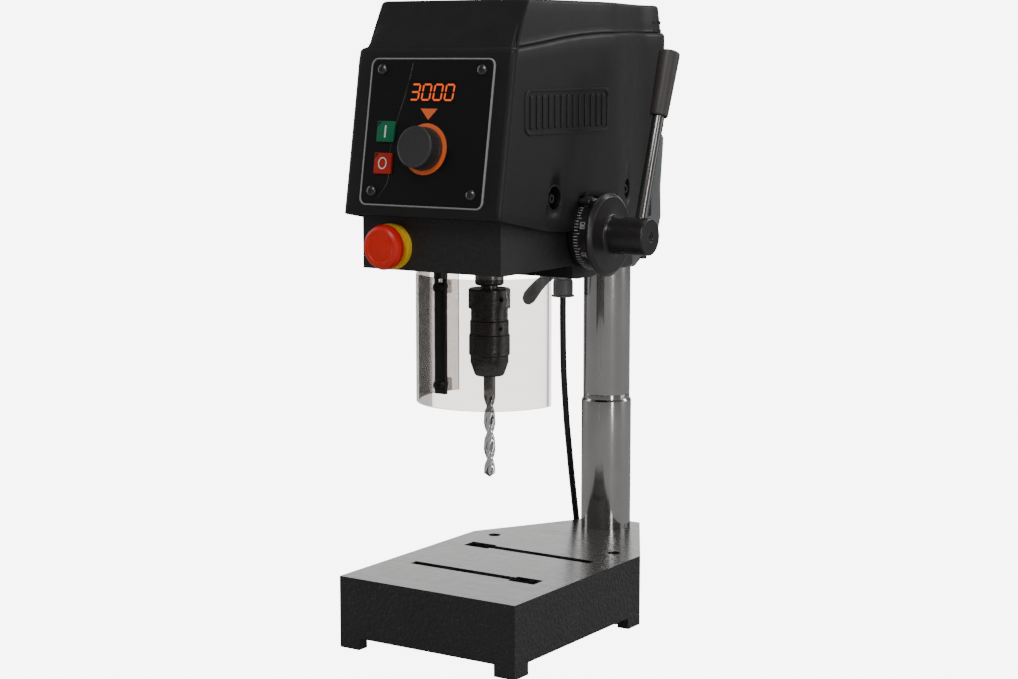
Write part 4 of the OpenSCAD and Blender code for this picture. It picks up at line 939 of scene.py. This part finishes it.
class DRILLPRESS_OT_column(bpy.types.Operator):
    """Finish the column, its screws and the grey sleeve that clamps the head on it"""
    bl_idname = "drillpress.column"
    bl_label = "Column and sleeve"

    def execute(self, context):
        lo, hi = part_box("column")
        r = (hi.x - lo.x) / 2
        upper = r - 1.5 * MM
        step = COLUMN_STEP
        profile = rounded([(r - 8 * MM, lo.z), (r, lo.z), (r, step - 2 * MM), (upper, step),
                           (upper, step + 4 * MM), (upper - 0.4 * MM, step + 4.1 * MM),
                           (upper - 0.4 * MM, step + 4.7 * MM), (upper, step + 4.8 * MM),
                           (upper, hi.z - 1 * MM), (upper - 1 * MM, hi.z), (upper - 8 * MM, hi.z),
                           (upper - 8 * MM, hi.z - 0.2), (r - 8 * MM, lo.z)], 0.25 * MM, 3)
        ground = revolve(profile, Matrix.Translation((0, middle("column")[1], 0)), 160)
        piece("column_ground", ground, "steel", "base", "brushed_steel", "column")
        dress("column_sleeve", M["satin_grey"], 0.8 * MM)
        dress("sleeve_bolts", M["fastener"], 0.3 * MM)
        paint("column_screws", M["fastener"])
        return {"FINISHED"}


class DRILLPRESS_OT_casting(bpy.types.Operator):
    """Dress the head casting with speckled black paint and soft edges"""
    bl_idname = "drillpress.casting"
    bl_label = "Head casting"

    def execute(self, context):
        dress("head_casting", M["casting"], context.scene.dp_edge.cast)
        dress("cover_screws", M["fastener"], 0.3 * MM)
        dress("guard_bracket", M["black_steel"], 0.5 * MM)
        return {"FINISHED"}


# ---- control panel --------------------------------------------------------

def panel_frame(settings):
    lean = settings.lean
    lo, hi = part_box("panel_plate")
    origin = Vector((0, lo.y + 1 * MM * math.cos(lean), lo.z + 2 * MM * math.sin(lean)))
    out = Vector((0, -math.cos(lean), math.sin(lean)))
    high = (hi.z - lo.z - 3 * MM * math.sin(lean)) / math.cos(lean)
    return frame_at(origin, out, (1, 0, 0)), hi.x - lo.x, high


SEGMENTS = {"0": "abcdef", "1": "bc", "2": "abged", "3": "abgcd", "4": "fgbc", "5": "afgcd",
            "6": "afgedc", "7": "abc", "8": "abcdefg", "9": "abcdfg"}


def seven_segment(digit, w, h, stroke, gap=0.25):
    """Outlines of a digit's strokes, each a bar with pointed ends."""
    ends = {"a": ((0, h), (w, h)), "d": ((0, 0), (w, 0)), "g": ((0, h / 2), (w, h / 2)),
            "b": ((w, h / 2), (w, h)), "c": ((w, 0), (w, h / 2)),
            "e": ((0, 0), (0, h / 2)), "f": ((0, h / 2), (0, h))}
    bars = []
    for s in SEGMENTS[digit]:
        a, b = Vector(ends[s][0]), Vector(ends[s][1])
        t = (b - a).normalized()
        n = Vector((-t.y, t.x))
        a, b = a + t * stroke * gap, b - t * stroke * gap
        q = stroke / 2
        bars.append([a, a + t * q - n * q, b - t * q - n * q, b, b - t * q + n * q, a + t * q + n * q])
    return bars


class DRILLPRESS_OT_panel(bpy.types.Operator):
    """Build the control panel: plate, pale rim, display, marks, screws"""
    bl_idname = "drillpress.panel"
    bl_label = "Control panel"

    def execute(self, context):
        settings, hood = context.scene.dp_panel, context.scene.dp_hood
        at, w, h = panel_frame(hood)
        mid = (0, h / 2)
        plate = slab(w - 2.6 * MM, h - 2.6 * MM, settings.corner, -2 * MM, 1 * MM, 0.5 * MM, at, mid)
        piece("panel_face", plate, "panel", "head", "panel", "panel_plate")
        rings = []
        for inset, z in ((-0.5 * MM, -1.5 * MM), (-0.2 * MM, 1.0 * MM), (0.15 * MM, 1.45 * MM),
                         (0.5 * MM, 1.6 * MM), (settings.rim - 0.3 * MM, 1.55 * MM),
                         (settings.rim, 1.1 * MM), (settings.rim + 0.3 * MM, -0.5 * MM)):
            rings.append([at @ Vector((x, y + h / 2, z)) for x, y in
                          rounded_rect(w - 2 * inset, h - 2 * inset, settings.corner - inset + 0.6 * MM, 10)])
        piece("panel_rim", loft(rings), "rim", "head", "hood_trim")

        def local(x, y, z=0.0):
            return at @ Vector((x * MM, y * MM, z * MM))

        curve = [local(x, y, 0.8) for x, y in ((-20.5, 126), (-23, 110), (-27, 94), (-32.5, 74),
                                                (-36.5, 51), (-36, 34), (-37, 20), (-45.5, 7))]
        line = sweep(smooth_path(curve, 2 * MM), 0.4 * MM, 6)
        piece("panel_line", line, "panel_line", "head", "panel")

        lens = slab(54 * MM, 20 * MM, 1.2 * MM, 0.2 * MM, 1.15 * MM, 0.15 * MM, at, (2.1 * MM, 100.7 * MM))
        piece("display_lens", lens, "lens", "head", "display", "display_module")
        parts = []
        wide = 8.3 * MM
        for k, digit in enumerate("3000"):
            x0 = -20.2 * MM + k * settings.digit_pitch
            for bar in seven_segment(digit, wide, settings.digit_h, settings.stroke):
                outline = [(p.x + x0 + p.y * settings.slant, p.y + 93.6 * MM) for p in bar]
                parts.append(prism(outline, 1.1 * MM, 1.3 * MM, at))
        piece("display_digits", join(parts), "led", "head", "display")
        tri = prism([(-8 * MM, 86 * MM), (1 * MM, 76.2 * MM), (10 * MM, 86 * MM)], 0.9 * MM, 1.12 * MM, at)
        piece("panel_pointer", tri, "orange", "head", "orange_ring")

        heads, slots = [], []
        head = rounded([(4.9 * MM, 0.9 * MM), (4.9 * MM, 1.5 * MM), (4.3 * MM, 2.6 * MM),
                        (2.8 * MM, 3.3 * MM), (0, 3.5 * MM)], 0.5 * MM, 4)
        slot = ((-2.5 * MM, -0.5 * MM), (2.5 * MM, -0.5 * MM), (2.5 * MM, 0.5 * MM), (-2.5 * MM, 0.5 * MM))
        for spot in [(sx * (w / 2 - 12.5 * MM), y, 0) for sx in (-1, 1) for y in (12.5 * MM, h - 10 * MM)]:
            heads.append(revolve(head, frame_at(at @ Vector(spot), at.col[2].xyz, (1, 0, 0)), 48))
            for a in (0.3, 0.3 + math.pi / 2):
                bar = [(x * math.cos(a) - v * math.sin(a), x * math.sin(a) + v * math.cos(a))
                       for x, v in slot]
                slots.append(prism(bar, 3.0 * MM, 3.53 * MM, at @ Matrix.Translation(spot)))
        piece("panel_screw_heads", join(heads), "screw", "head", "black_fasteners", "panel_screws")
        # the screw slots are dark bars in painted shade standing just proud of the heads, not cut grooves
        piece("panel_screw_slots", join(slots), "painted_shade", "head", "black_fasteners")
        paint("knob_ring", M["orange"])
        paint("control_board", M["board"])
        paint("potentiometer", M["zinc"])
        return {"FINISHED"}


class DRILLPRESS_OT_controls(bpy.types.Operator):
    """Build the speed knob, the push buttons and the stop mushroom"""
    bl_idname = "drillpress.controls"
    bl_label = "Controls"

    def button(self, body, colour, slot, at, size, centre, ring):
        x, y = centre
        cap = slab(size, size, 0.9 * MM, -4.5 * MM, 3.4 * MM, 0.5 * MM, at, centre, 4)
        piece(body + "_cap", cap, colour, body, slot, body)
        z0, z1 = 3.3 * MM, 3.5 * MM
        if ring:
            n, rings = 40, []
            for rx, ry, z in ((4.6, 5.3, z0), (4.6, 5.3, z1), (3.6, 4.3, z1), (3.6, 4.3, z0)):
                rings.append([at @ Vector((x + rx * MM * math.cos(2 * math.pi * k / n),
                                           y + ry * MM * math.sin(2 * math.pi * k / n), z))
                              for k in range(n)])
            mark = loft(rings)
        else:
            mark = prism([(x - 0.8 * MM, y - 5.4 * MM), (x + 0.8 * MM, y - 5.4 * MM),
                          (x + 0.8 * MM, y + 5.4 * MM), (x - 0.8 * MM, y + 5.4 * MM)], z0, z1, at)
        piece(body + "_mark", mark, "mark", body, slot)
        e = size / 2 - 0.7 * MM
        # dark corner triangle in painted shade, standing on the cap's top in place of a recess
        corner = prism([(x - e, y + e), (x - e, y + e - 4.2 * MM), (x - e + 4.2 * MM, y + e)], z0, z1, at)
        piece(body + "_corner", corner, "painted_shade", body, slot)

    def execute(self, context):
        at = panel_frame(context.scene.dp_hood)[0]
        centre = Vector((1 * MM, 50.5 * MM, 0))
        knob_lo, knob_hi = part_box("speed_knob")
        r = (knob_hi.x - knob_lo.x) / 2
        long = 18 * MM
        place = at @ Matrix.Translation(centre)
        skirt = rounded([(r - 3 * MM, 2.2 * MM), (r, 2.2 * MM), (r, 5.6 * MM), (r - 0.35 * MM, 6 * MM),
                         (r - 0.8 * MM, long - 0.3 * MM), (r - 1.9 * MM, long)], 0.8 * MM, 5)
        piece("knob_body", revolve(skirt, place, 120), "knob", "speed_knob", "knob", "speed_knob")
        face = rounded([(r - 1.9 * MM, long), (r - 2.4 * MM, long - 0.25 * MM), (0, long - 0.35 * MM)],
                       0.3 * MM, 3)
        piece("knob_face", revolve(face, place, 120), "knob_top", "speed_knob", "knob")
        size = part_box("start_button")[1].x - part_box("start_button")[0].x
        x = -42.2 * MM
        self.button("start_button", "green", "green_button", at, size, (x, 65 * MM), False)
        self.button("stop_button", "red", "red_button", at, size, (x, 37 * MM), True)

        lo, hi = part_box("estop_head")
        centre = Vector(((lo.x + hi.x) / 2, lo.y + 21 * MM, (lo.z + hi.z) / 2))
        r = (hi.x - lo.x) / 2
        turn = frame_at(centre, (0, -1, 0), (1, 0, 0))
        profile = rounded([(7 * MM, 1 * MM), (7 * MM, 9.2 * MM), (r - 2.2 * MM, 9.6 * MM), (r, 11 * MM),
                           (r, 15.2 * MM), (r - 1.6 * MM, 19 * MM),
                           (r - 4.2 * MM, 20.6 * MM), (r - 6.5 * MM, 20.4 * MM),
                           (r - 7 * MM, 19.9 * MM), (r - 10 * MM, 20.2 * MM), (0, 20.9 * MM)], 1.1 * MM, 5)
        piece("stop_mushroom", revolve(profile, turn, 128), "stop", "estop_head", "red_mushroom",
              "estop_head")
        parts = []
        for k in range(3):
            arc = [math.radians(120 * k + 20 + 4 * j) for j in range(16)]
            outline = [((r - 10.3 * MM) * math.cos(a), (r - 10.3 * MM) * math.sin(a)) for a in arc]
            outline += [((r - 9.1 * MM) * math.cos(a), (r - 9.1 * MM) * math.sin(a)) for a in reversed(arc)]
            parts.append(prism(outline, 20.0 * MM, 20.42 * MM, turn))
        piece("stop_arrows", join(parts), "stop", "estop_head", "red_mushroom")
        dress("estop_body", M["yellow"], 0.5 * MM)
        return {"FINISHED"}


# ---- feed -----------------------------------------------------------------

LEVER_LENGTH = 173 * MM
LEVER_LEAN = math.radians(18.5)
GRIP_LENGTH = 61 * MM


class DRILLPRESS_OT_feed(bpy.types.Operator):
    """Build the feed: hub, disc, lever and grip, and the engraved depth ring"""
    bl_idname = "drillpress.feed"
    bl_label = "Feed"

    def execute(self, context):
        settings = context.scene.dp_feed
        lo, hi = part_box("feed_hub")
        ring_lo, ring_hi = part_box("depth_ring")
        y, z = (lo.y + hi.y) / 2, (lo.z + hi.z) / 2
        r = (hi.y - lo.y) / 2
        end = hi.x
        disc = ring_hi.x + 0.5 * MM
        hub_r = 17 * MM
        axis = frame_at(Vector((0, y, z)), (1, 0, 0), (0, 1, 0))
        profile = rounded([(19.5 * MM, lo.x), (19.5 * MM, disc + 0.5 * MM), (r - 2 * MM, disc + 0.5 * MM),
                           (r, disc + 2.4 * MM), (r, disc + 4.2 * MM), (r - 3.6 * MM, disc + 7.1 * MM),
                           (hub_r + 7 * MM, disc + 7.6 * MM), (hub_r + 1 * MM, disc + 8.6 * MM),
                           (hub_r, disc + 11 * MM), (hub_r, end - 1.1 * MM), (hub_r - 1.2 * MM, end),
                           (4.6 * MM, end), (4.2 * MM, end - 1.6 * MM), (0, end - 1.6 * MM)], 2.2 * MM, 6)
        piece("hub_turned", revolve(profile, axis, 144), "feed", "feed", "feed_black", "feed_hub")
        parts = []
        # the dimples are dark discs in painted shade standing just proud of the hub's end, not hollows
        for a in (math.radians(70), math.radians(250)):
            spot = frame_at(Vector((end, y + 10.5 * MM * math.cos(a), z + 10.5 * MM * math.sin(a))),
                            (1, 0, 0))
            parts.append(revolve([(1.2 * MM, -0.3 * MM), (1.1 * MM, 0.05 * MM), (0, 0.05 * MM)], spot, 24))
        piece("hub_dimples", join(parts), "painted_shade", "feed", "feed_black")
        paint("hub_screw", M["fastener"])
        paint("feed_shaft", M["turned"])
        paint("feed_pinion", M["turned"])

        rr = (ring_hi.y - ring_lo.y) / 2
        ring = rounded([(19.6 * MM, ring_lo.x), (rr - 1.6 * MM, ring_lo.x),
                        (rr - 1.2 * MM, ring_lo.x + 4 * MM), (rr, ring_lo.x + 4.6 * MM),
                        (rr, ring_hi.x - 0.9 * MM), (rr - 1 * MM, ring_hi.x),
                        (19.6 * MM, ring_hi.x), (19.6 * MM, ring_lo.x)], 0.4 * MM, 4)
        piece("depth_ring_turned", revolve(ring, axis, 144), "feed", "depth_ring", "feed_black", "depth_ring")
        group = repeat_group("ticks_round", True)
        step = 2 * math.pi / settings.ticks
        tick_x = ring_lo.x + 6.2 * MM
        for name, count, turn, long in (("short", settings.ticks, step, settings.tick_l),
                                        ("long", settings.ticks // 5, 5 * step, settings.tick_l * 1.5)):
            ticks = repeated("ring_ticks_" + name, group,
                             {"Count": count, "Step": turn, "Radius": rr,
                              "Size": (0.16 * MM, settings.tick_w, long), "Material": M["tick"]},
                             axis @ Matrix.Translation((0, 0, tick_x + long / 2)))
            put(ticks, "depth_ring", "feed_black")
        parts = []
        h, stroke = settings.figure_h, 0.55 * MM
        w = 0.55 * h
        for k in range(7):
            angle = 10 * k * step + math.radians(161)
            text = "%d" % (10 * (8 - k))
            for j, digit in enumerate(text):
                for bar in seven_segment(digit, w, h, stroke, 0.0):
                    loop = []
                    for rad in (rr - 0.2 * MM, rr + 0.1 * MM):
                        for p in bar:
                            along = ring_lo.x + 14.9 * MM + p.y - h / 2
                            a = angle - (p.x + (j - len(text) / 2) * (w + 1.0 * MM)) / rr
                            loop.append(axis @ Vector((rad * math.cos(a), rad * math.sin(a), along)))
                    n = len(bar)
                    parts.append((loop, [[i, (i + 1) % n, n + (i + 1) % n, n + i] for i in range(n)]
                                  + [list(range(n))[::-1], [n + i for i in range(n)]]))
        piece("ring_figures", join(parts), "tick", "depth_ring", "feed_black")

        root = Vector((middle("feed_lever")[0], y, z))
        lean = LEVER_LEAN
        along = Vector((0, math.sin(lean), math.cos(lean)))
        place = frame_at(root, along, (1, 0, 0))
        long = LEVER_LENGTH
        rod = rounded([(0, 8 * MM), (5.5 * MM, 8 * MM), (5.5 * MM, long - 12 * MM), (0, long - 12 * MM)],
                      0.3 * MM, 3)
        piece("lever_rod", revolve(rod, place, 64), "rod", "feed", "lever_steel", "feed_lever")
        start = long - GRIP_LENGTH
        grip = rounded([(5.6 * MM, start + 3 * MM), (6.2 * MM, start), (7.9 * MM, start),
                        (8.3 * MM, start + 1.2 * MM),
                        (8.9 * MM, start + 20 * MM), (9.8 * MM, long - 5 * MM), (9.75 * MM, long - 1.6 * MM),
                        (8.4 * MM, long), (0, long + 0.2 * MM)], 1.1 * MM, 5)
        piece("grip_turned", revolve(grip, place, 96), "grip", "feed", "grip", "lever_grip")

        pin_lo, pin_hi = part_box("depth_pointer")
        py, pz = middle("depth_pointer")[1:]
        pin = frame_at(Vector((0, py, pz)), (1, 0, 0), (0, 1, 0))
        profile = rounded([(4 * MM, pin_lo.x), (4 * MM, pin_lo.x + 3 * MM), (3 * MM, pin_lo.x + 3.2 * MM),
                           (3 * MM, pin_hi.x - 0.6 * MM), (2.4 * MM, pin_hi.x), (0, pin_hi.x)], 0.4 * MM, 3)
        parts = [revolve(profile, pin, 48)]
        seat = Vector((pin_hi.x - 4 * MM, py + 2 * MM, pz + 2.6 * MM))
        tab = slab(9 * MM, 5 * MM, 1.2 * MM, 0, 1.2 * MM, 0.3 * MM, frame_at(seat, (0, -0.35, 1), (1, 0, 0)))
        piece("pointer_pin", join(parts + [tab]), "feed", "head", "feed_black", "depth_pointer")
        dress("spring_cover", M["feed"], 0.6 * MM)
        return {"FINISHED"}


# ---- quill, chuck and drill ----------------------------------------------

class DRILLPRESS_OT_chuck(bpy.types.Operator):
    """Finish the quill nose, spindle, keyless chuck and twist drill"""
    bl_idname = "drillpress.chuck"
    bl_label = "Chuck and drill"

    def execute(self, context):
        edge = context.scene.dp_edge.machined
        dress("chuck_body", M["chuck"], edge)
        dress("chuck_sleeve", M["chuck"], edge)
        dress("quill_nose", M["chuck"], edge)
        for node in ("quill", "spindle", "chuck_jaw_1", "chuck_jaw_2", "chuck_jaw_3"):
            paint(node, M["turned"])
        paint("quill_bearings", M["turned"])

        lo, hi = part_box("drill_bit")
        chuck_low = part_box("chuck_sleeve")[0].z
        centre = Vector((*middle("drill_bit")[:2], 0))
        r = (hi.x - lo.x) / 2
        flute_end = chuck_low - 15 * MM
        n, rings = 60, []
        tip = 4 * MM
        levels = [(lo.z + tip * t, max(t, 0.04)) for t in (0, 0.25, 0.5, 0.75)]
        levels += [(lo.z + tip + (flute_end - lo.z - tip) * k / 110, 1.0) for k in range(111)]
        for z, scale in levels:
            fade = min(1.0, max(0.0, (flute_end - z) / (9 * MM)))
            twist = 2 * math.pi * (z - lo.z) / (4.5 * 2 * r)
            ring = []
            for k in range(n):
                a = 2 * math.pi * k / n
                side = a % math.pi - math.pi / 2
                flute = math.exp(-(side / 0.8) ** 4)
                margin = 1.0 if abs(side + 1.3) < 0.14 else 0.965
                q = r * (margin * (1 - flute) + (1 - 0.66 * fade) * flute) * scale
                ring.append(centre + Vector((q * math.cos(a + twist), q * math.sin(a + twist), z)))
            rings.append(ring)
        for z, q in ((flute_end + 0.2 * MM, r), (chuck_low + 30 * MM, r)):
            rings.append([centre + Vector((q * math.cos(2 * math.pi * k / n),
                                           q * math.sin(2 * math.pi * k / n), z)) for k in range(n)])
        piece("twist_drill", loft(rings, cap_start=True, cap_end=True), "drill", "spindle", "drill_steel",
              "drill_bit", sharp=math.radians(45))
        return {"FINISHED"}


# ---- guard and clamp ------------------------------------------------------

class DRILLPRESS_OT_guard(bpy.types.Operator):
    """Finish the swinging guard: clear shield, post and screws"""
    bl_idname = "drillpress.guard"
    bl_label = "Guard"

    def execute(self, context):
        dress("guard_shield", M["clear"], context.scene.dp_edge.sheet, 2)
        dress("guard_post", M["black_steel"], 0.4 * MM)
        dress("guard_screws", M["fastener"], 0.3 * MM)
        return {"FINISHED"}


class DRILLPRESS_OT_clamp(bpy.types.Operator):
    """Build the head clamp's cranked lever"""
    bl_idname = "drillpress.clamp"
    bl_label = "Clamp lever"

    def execute(self, context):
        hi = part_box("clamp_lever")[1]
        x, _, z = middle("clamp_stud")
        boss = rounded([(4.05 * MM, 0), (7.8 * MM, 0), (8.5 * MM, 1 * MM), (8.5 * MM, 13 * MM),
                        (7.6 * MM, 14 * MM), (0, 14 * MM)], 0.8 * MM, 5)
        parts = [revolve(boss, frame_at(Vector((x, hi.y, z)), (0, -1, 0), (1, 0, 0)), 64)]
        spine = [(0, 0, 5.0), (-7, -1.5, 4.6), (-14, -5, 4.9), (-22, -9.8, 5.4), (-30, -17, 6.1),
                 (-36.5, -24, 6.9), (-41, -29.4, 7.2), (-44.2, -33.4, 5.4), (-45.6, -35.1, 2.6)]
        y = middle("clamp_lever")[1] - 1.5 * MM
        path = [Vector((x + a * MM, y, z + b * MM)) for a, b, _ in spine]
        rings = []
        flat = 0.62   # how thin the handle is, against its height
        for i, (p, s) in enumerate(zip(path, spine)):
            t = (path[min(i + 1, len(path) - 1)] - path[max(i - 1, 0)]).normalized()
            side = Vector((-t.z, 0, t.x))
            rings.append([p + side * s[2] * MM * math.cos(a)
                          + Vector((0, 1, 0)) * s[2] * flat * MM * math.sin(a)
                          for a in [2 * math.pi * k / 28 for k in range(28)]])
        parts.append(loft(rings, cap_start=True, cap_end=True))
        piece("clamp_handle", join(parts), "lever_grey", "clamp_lever", "lever_grey", "clamp_lever")
        paint("clamp_stud", M["zinc"])
        return {"FINISHED"}


# ---- mains cable ----------------------------------------------------------

ROUTE = ((-42, 84, 301.5), (-42, 84, 280), (-42, 84.5, 258), (-42.5, 86, 236), (-43, 88.5, 213),
         (-43.5, 92, 190), (-44, 96, 166), (-44.5, 101, 142), (-45, 106, 118),
         (-45.5, 111.5, 94), (-46, 117, 71),
         (-46.5, 122, 50), (-47, 128, 31), (-47.5, 137, 15.5), (-48, 148.5, 6.2), (-48, 160, 3.5))


class DRILLPRESS_OT_cord(bpy.types.Operator):
    """Run the mains cable from its gland, down behind the base, into a neat coil and its plug"""
    bl_idname = "drillpress.cord"
    bl_label = "Mains cable"

    def execute(self, context):
        settings = context.scene.dp_cord
        d, pitch = settings.diameter, settings.pitch
        cx, cy = middle("cable_coil")[:2]
        start_r = -48 * MM - cx
        points = [Vector(p) * MM for p in ROUTE]
        layer, step = d / 2 + 0.1 * MM, 12
        inner = start_r - pitch * settings.turns
        down = int(360 * settings.turns)
        climb = 96
        total = down + climb + int(360 * (settings.turns + 0.5) - climb)
        for a in range(0, total + 1, step):
            if a <= down:
                r, z = start_r - pitch * a / 360, layer
            elif a <= down + climb:
                t = (a - down) / climb
                r, z = inner, layer + (d + 0.1 * MM) * t * t * (3 - 2 * t)
            else:
                r, z = inner + pitch * (a - down - climb) / 360, layer + d + 0.1 * MM
            turned = math.radians(a)
            points.append(Vector((cx + r * math.cos(turned), cy + r * math.sin(turned), z)))
        px, _, pz = middle("mains_plug")
        last = points[-1]
        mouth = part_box("mains_plug")[1].y
        points += [Vector((last.x + (px - last.x) * 0.3, cy + (mouth - cy) * 0.45,
                           last.z + (pz - last.z) * 0.35)),
                   Vector((px, mouth + 1 * MM, pz - 0.2 * MM)), Vector((px, mouth - 7 * MM, pz))]
        path = smooth_path(points, 2.4 * MM)
        run = sum((b - a).length for a, b in zip(path, path[1:]))
        v, f = sweep(path, d / 2, 20)
        cable = obj_from("mains_lead", v, f, [M["cable"]])
        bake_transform(cable)
        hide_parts("mains_cable", "cable_coil")
        plug = dress("mains_plug", M["plug"], 0.8 * MM)
        ribs = []
        for k in range(5):
            y = mouth - (3 + 3 * k) * MM
            r = (5.75 + (13 - 5.75) * (3 + 3 * k) / 18) * MM
            rib = rounded([(r - 1 * MM, -0.9 * MM), (r + 0.5 * MM, -0.6 * MM), (r + 0.5 * MM, 0.6 * MM),
                           (r - 1 * MM, 0.9 * MM)], 0.4 * MM, 3)
            ribs.append(revolve(rib, frame_at(Vector((px, y, pz)), (0, 1, 0)), 40))
        rings = piece("plug_ribs", join(ribs), "plug", "base", "plug")
        [tuple(p) for p in path]
        self.gland()
        return {"FINISHED"}

    def gland(self):
        centre = Vector((*middle("cable_gland")[:2], 0))
        low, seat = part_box("cable_gland")[0].z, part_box("head_casting")[0].z
        bore = 3.45 * MM
        profile = rounded([(bore, low + 6 * MM), (bore, low), (8 * MM, low), (11.5 * MM, low + 0.4 * MM),
                           (11.5 * MM, low + 2.2 * MM),
                           (9.7 * MM, low + 2.6 * MM), (9.7 * MM, low + 17 * MM), (9.1 * MM, low + 17.6 * MM),
                           (9.1 * MM, low + 20 * MM), (9.9 * MM, low + 20.6 * MM), (9.9 * MM, seat - 3 * MM),
                           (11 * MM, seat - 2.4 * MM), (11 * MM, seat), (5 * MM, seat)], 0.5 * MM, 4)
        body = revolve(profile, Matrix.Translation(centre), 80)
        piece("gland_body", body, "gland", "head", "grey_plastic", "cable_gland")
        group = repeat_group("gland_ribs", True)
        ribs = repeated("gland_grip", group,
                        {"Count": 24, "Step": math.radians(15), "Radius": 9.7 * MM,
                         "Size": (0.9 * MM, 1.2 * MM, 12.5 * MM), "Material": M["gland"]},
                        Matrix.Translation(centre + Vector((0, 0, low + 9.6 * MM))))
        soften(ribs, 0.25 * MM, 2)
        put(ribs, "head", "grey_plastic")


# ---- inner works ----------------------------------------------------------

class DRILLPRESS_OT_drive(bpy.types.Operator):
    """Finish the belt drive, motor and springs inside the head"""
    bl_idname = "drillpress.drive"
    bl_label = "Drive"

    def execute(self, context):
        finishes = {"top_plate": "aluminium", "plate_posts": "zinc", "motor_body": "motor",
                    "motor_screws": "fastener", "feed_bushings": "brass", "return_spring": "zinc",
                    "drive_belt": "belt", "pulley_bearing": "turned", "spindle_pulley": "aluminium",
                    "motor_rotor": "turned", "motor_pulley": "aluminium"}
        for node, finish in finishes.items():
            paint(node, M[finish])
        return {"FINISHED"}


# ---- studio ---------------------------------------------------------------

def area_light(name, place, target, size, power, size_y=None):
    data = bpy.data.lights.new(name, "AREA")
    data.shape = "RECTANGLE"
    data.size = size
    data.size_y = size_y or size
    data.energy = power
    obj = bpy.data.objects.new(name, data)
    bpy.context.scene.collection.objects.link(obj)
    obj.location = place
    obj.rotation_euler = (Vector(target) - Vector(place)).to_track_quat("-Z", "Y").to_euler()
    return obj


class DRILLPRESS_OT_camera(bpy.types.Operator):
    """Place the camera"""
    bl_idname = "drillpress.camera"
    bl_label = "Camera"

    def execute(self, context):
        s = context.scene.dp_stage
        data = bpy.data.cameras.new("camera")
        data.lens = s.lens
        data.sensor_width = 36
        data.clip_start = 0.05
        data.clip_end = 60
        data.dof.use_dof = False
        camera = bpy.data.objects.new("camera", data)
        context.scene.collection.objects.link(camera)
        camera.location = s.place
        look = Vector((-math.sin(s.azimuth) * math.cos(s.tilt), math.cos(s.azimuth) * math.cos(s.tilt),
                       -math.sin(s.tilt)))
        camera.rotation_euler = look.to_track_quat("-Z", "Y").to_euler()
        context.scene.camera = camera
        return {"FINISHED"}


class DRILLPRESS_OT_stage(bpy.types.Operator):
    """Set up the pale floor, the surroundings and the soft lights"""
    bl_idname = "drillpress.stage"
    bl_label = "Studio"

    def execute(self, context):
        s = context.scene.dp_stage
        bend, reach = 2.0, 6.0
        profile = [(0, 0), (reach, 0)]
        profile += [(reach + bend * math.sin(a), bend * (1 - math.cos(a)))
                    for a in [math.pi / 2 * k / 16 for k in range(1, 17)]]
        profile += [(reach + bend, 7.0)]
        v, f = revolve(profile, Matrix.Identity(4), 96)
        floor = obj_from("studio_floor", v, f, [M["floor"]])
        world = bpy.data.worlds.new("surroundings")
        world.use_nodes = True
        background = world.node_tree.nodes["Background"]
        background.inputs["Color"].default_value = (1, 1, 1, 1)
        background.inputs["Strength"].default_value = s.ambient
        context.scene.world = world
        target = (0, -0.05, 0.35)
        lights = [area_light("key", (0.5, -2.1, 2.3), target, 0.9, s.key, 0.9),
                  area_light("side", (-2.3, -0.5, 1.1), target, 0.6, s.fill, 2.0),
                  area_light("streak", (2.2, -1.25, 0.8), target, 0.25, s.streak, 1.9),
                  area_light("fill", (2.3, 1.3, 0.9), target, 1.1, s.fill, 1.9),
                  area_light("rim", (1.3, 1.9, 1.6), target, 0.4, s.rim, 1.2),
                  area_light("back", (-2.2, 3.4, 0.9), target, 3.2, s.back, 1.6),
                  area_light("top", (0.0, 0.3, 2.3), target, 1.0, s.fill, 1.0)]
        for light in lights:
            light.visible_camera = False
        return {"FINISHED"}


# ---- add-on ---------------------------------------------------------------

STEPS = ("camera", "cord", "base", "column", "casting", "hood", "panel", "controls", "feed", "chuck",
         "guard", "clamp", "drive", "stage")


class DRILLPRESS_PT_panel(bpy.types.Panel):
    """Sizes and buttons of the drill press"""
    bl_idname = "DRILLPRESS_PT_panel"
    bl_label = "Drill press"
    bl_space_type = "VIEW_3D"
    bl_region_type = "UI"
    bl_category = "Drill press"

    def draw(self, context):
        layout = self.layout
        for key, group in GROUPS.items():
            box = layout.box()
            for name in group.__annotations__:
                box.prop(getattr(context.scene, key), name)
        for step in STEPS:
            layout.operator("drillpress." + step)


CLASSES = (*GROUPS.values(), DRILLPRESS_OT_camera, DRILLPRESS_OT_cord, DRILLPRESS_OT_base,
           DRILLPRESS_OT_column, DRILLPRESS_OT_casting, DRILLPRESS_OT_hood, DRILLPRESS_OT_panel,
           DRILLPRESS_OT_controls, DRILLPRESS_OT_feed, DRILLPRESS_OT_chuck, DRILLPRESS_OT_guard,
           DRILLPRESS_OT_clamp, DRILLPRESS_OT_drive, DRILLPRESS_OT_stage, DRILLPRESS_PT_panel)


def register():
    for c in CLASSES:
        bpy.utils.register_class(c)
    for key, group in GROUPS.items():
        setattr(bpy.types.Scene, key, PointerProperty(type=group))


def unregister():
    for key in GROUPS:
        delattr(bpy.types.Scene, key)
    for c in reversed(CLASSES):
        bpy.utils.unregister_class(c)


def main():
    register()
    make_materials()
    for step in STEPS:
        getattr(bpy.ops.drillpress, step)()


if __name__ == "__main__":
    main()
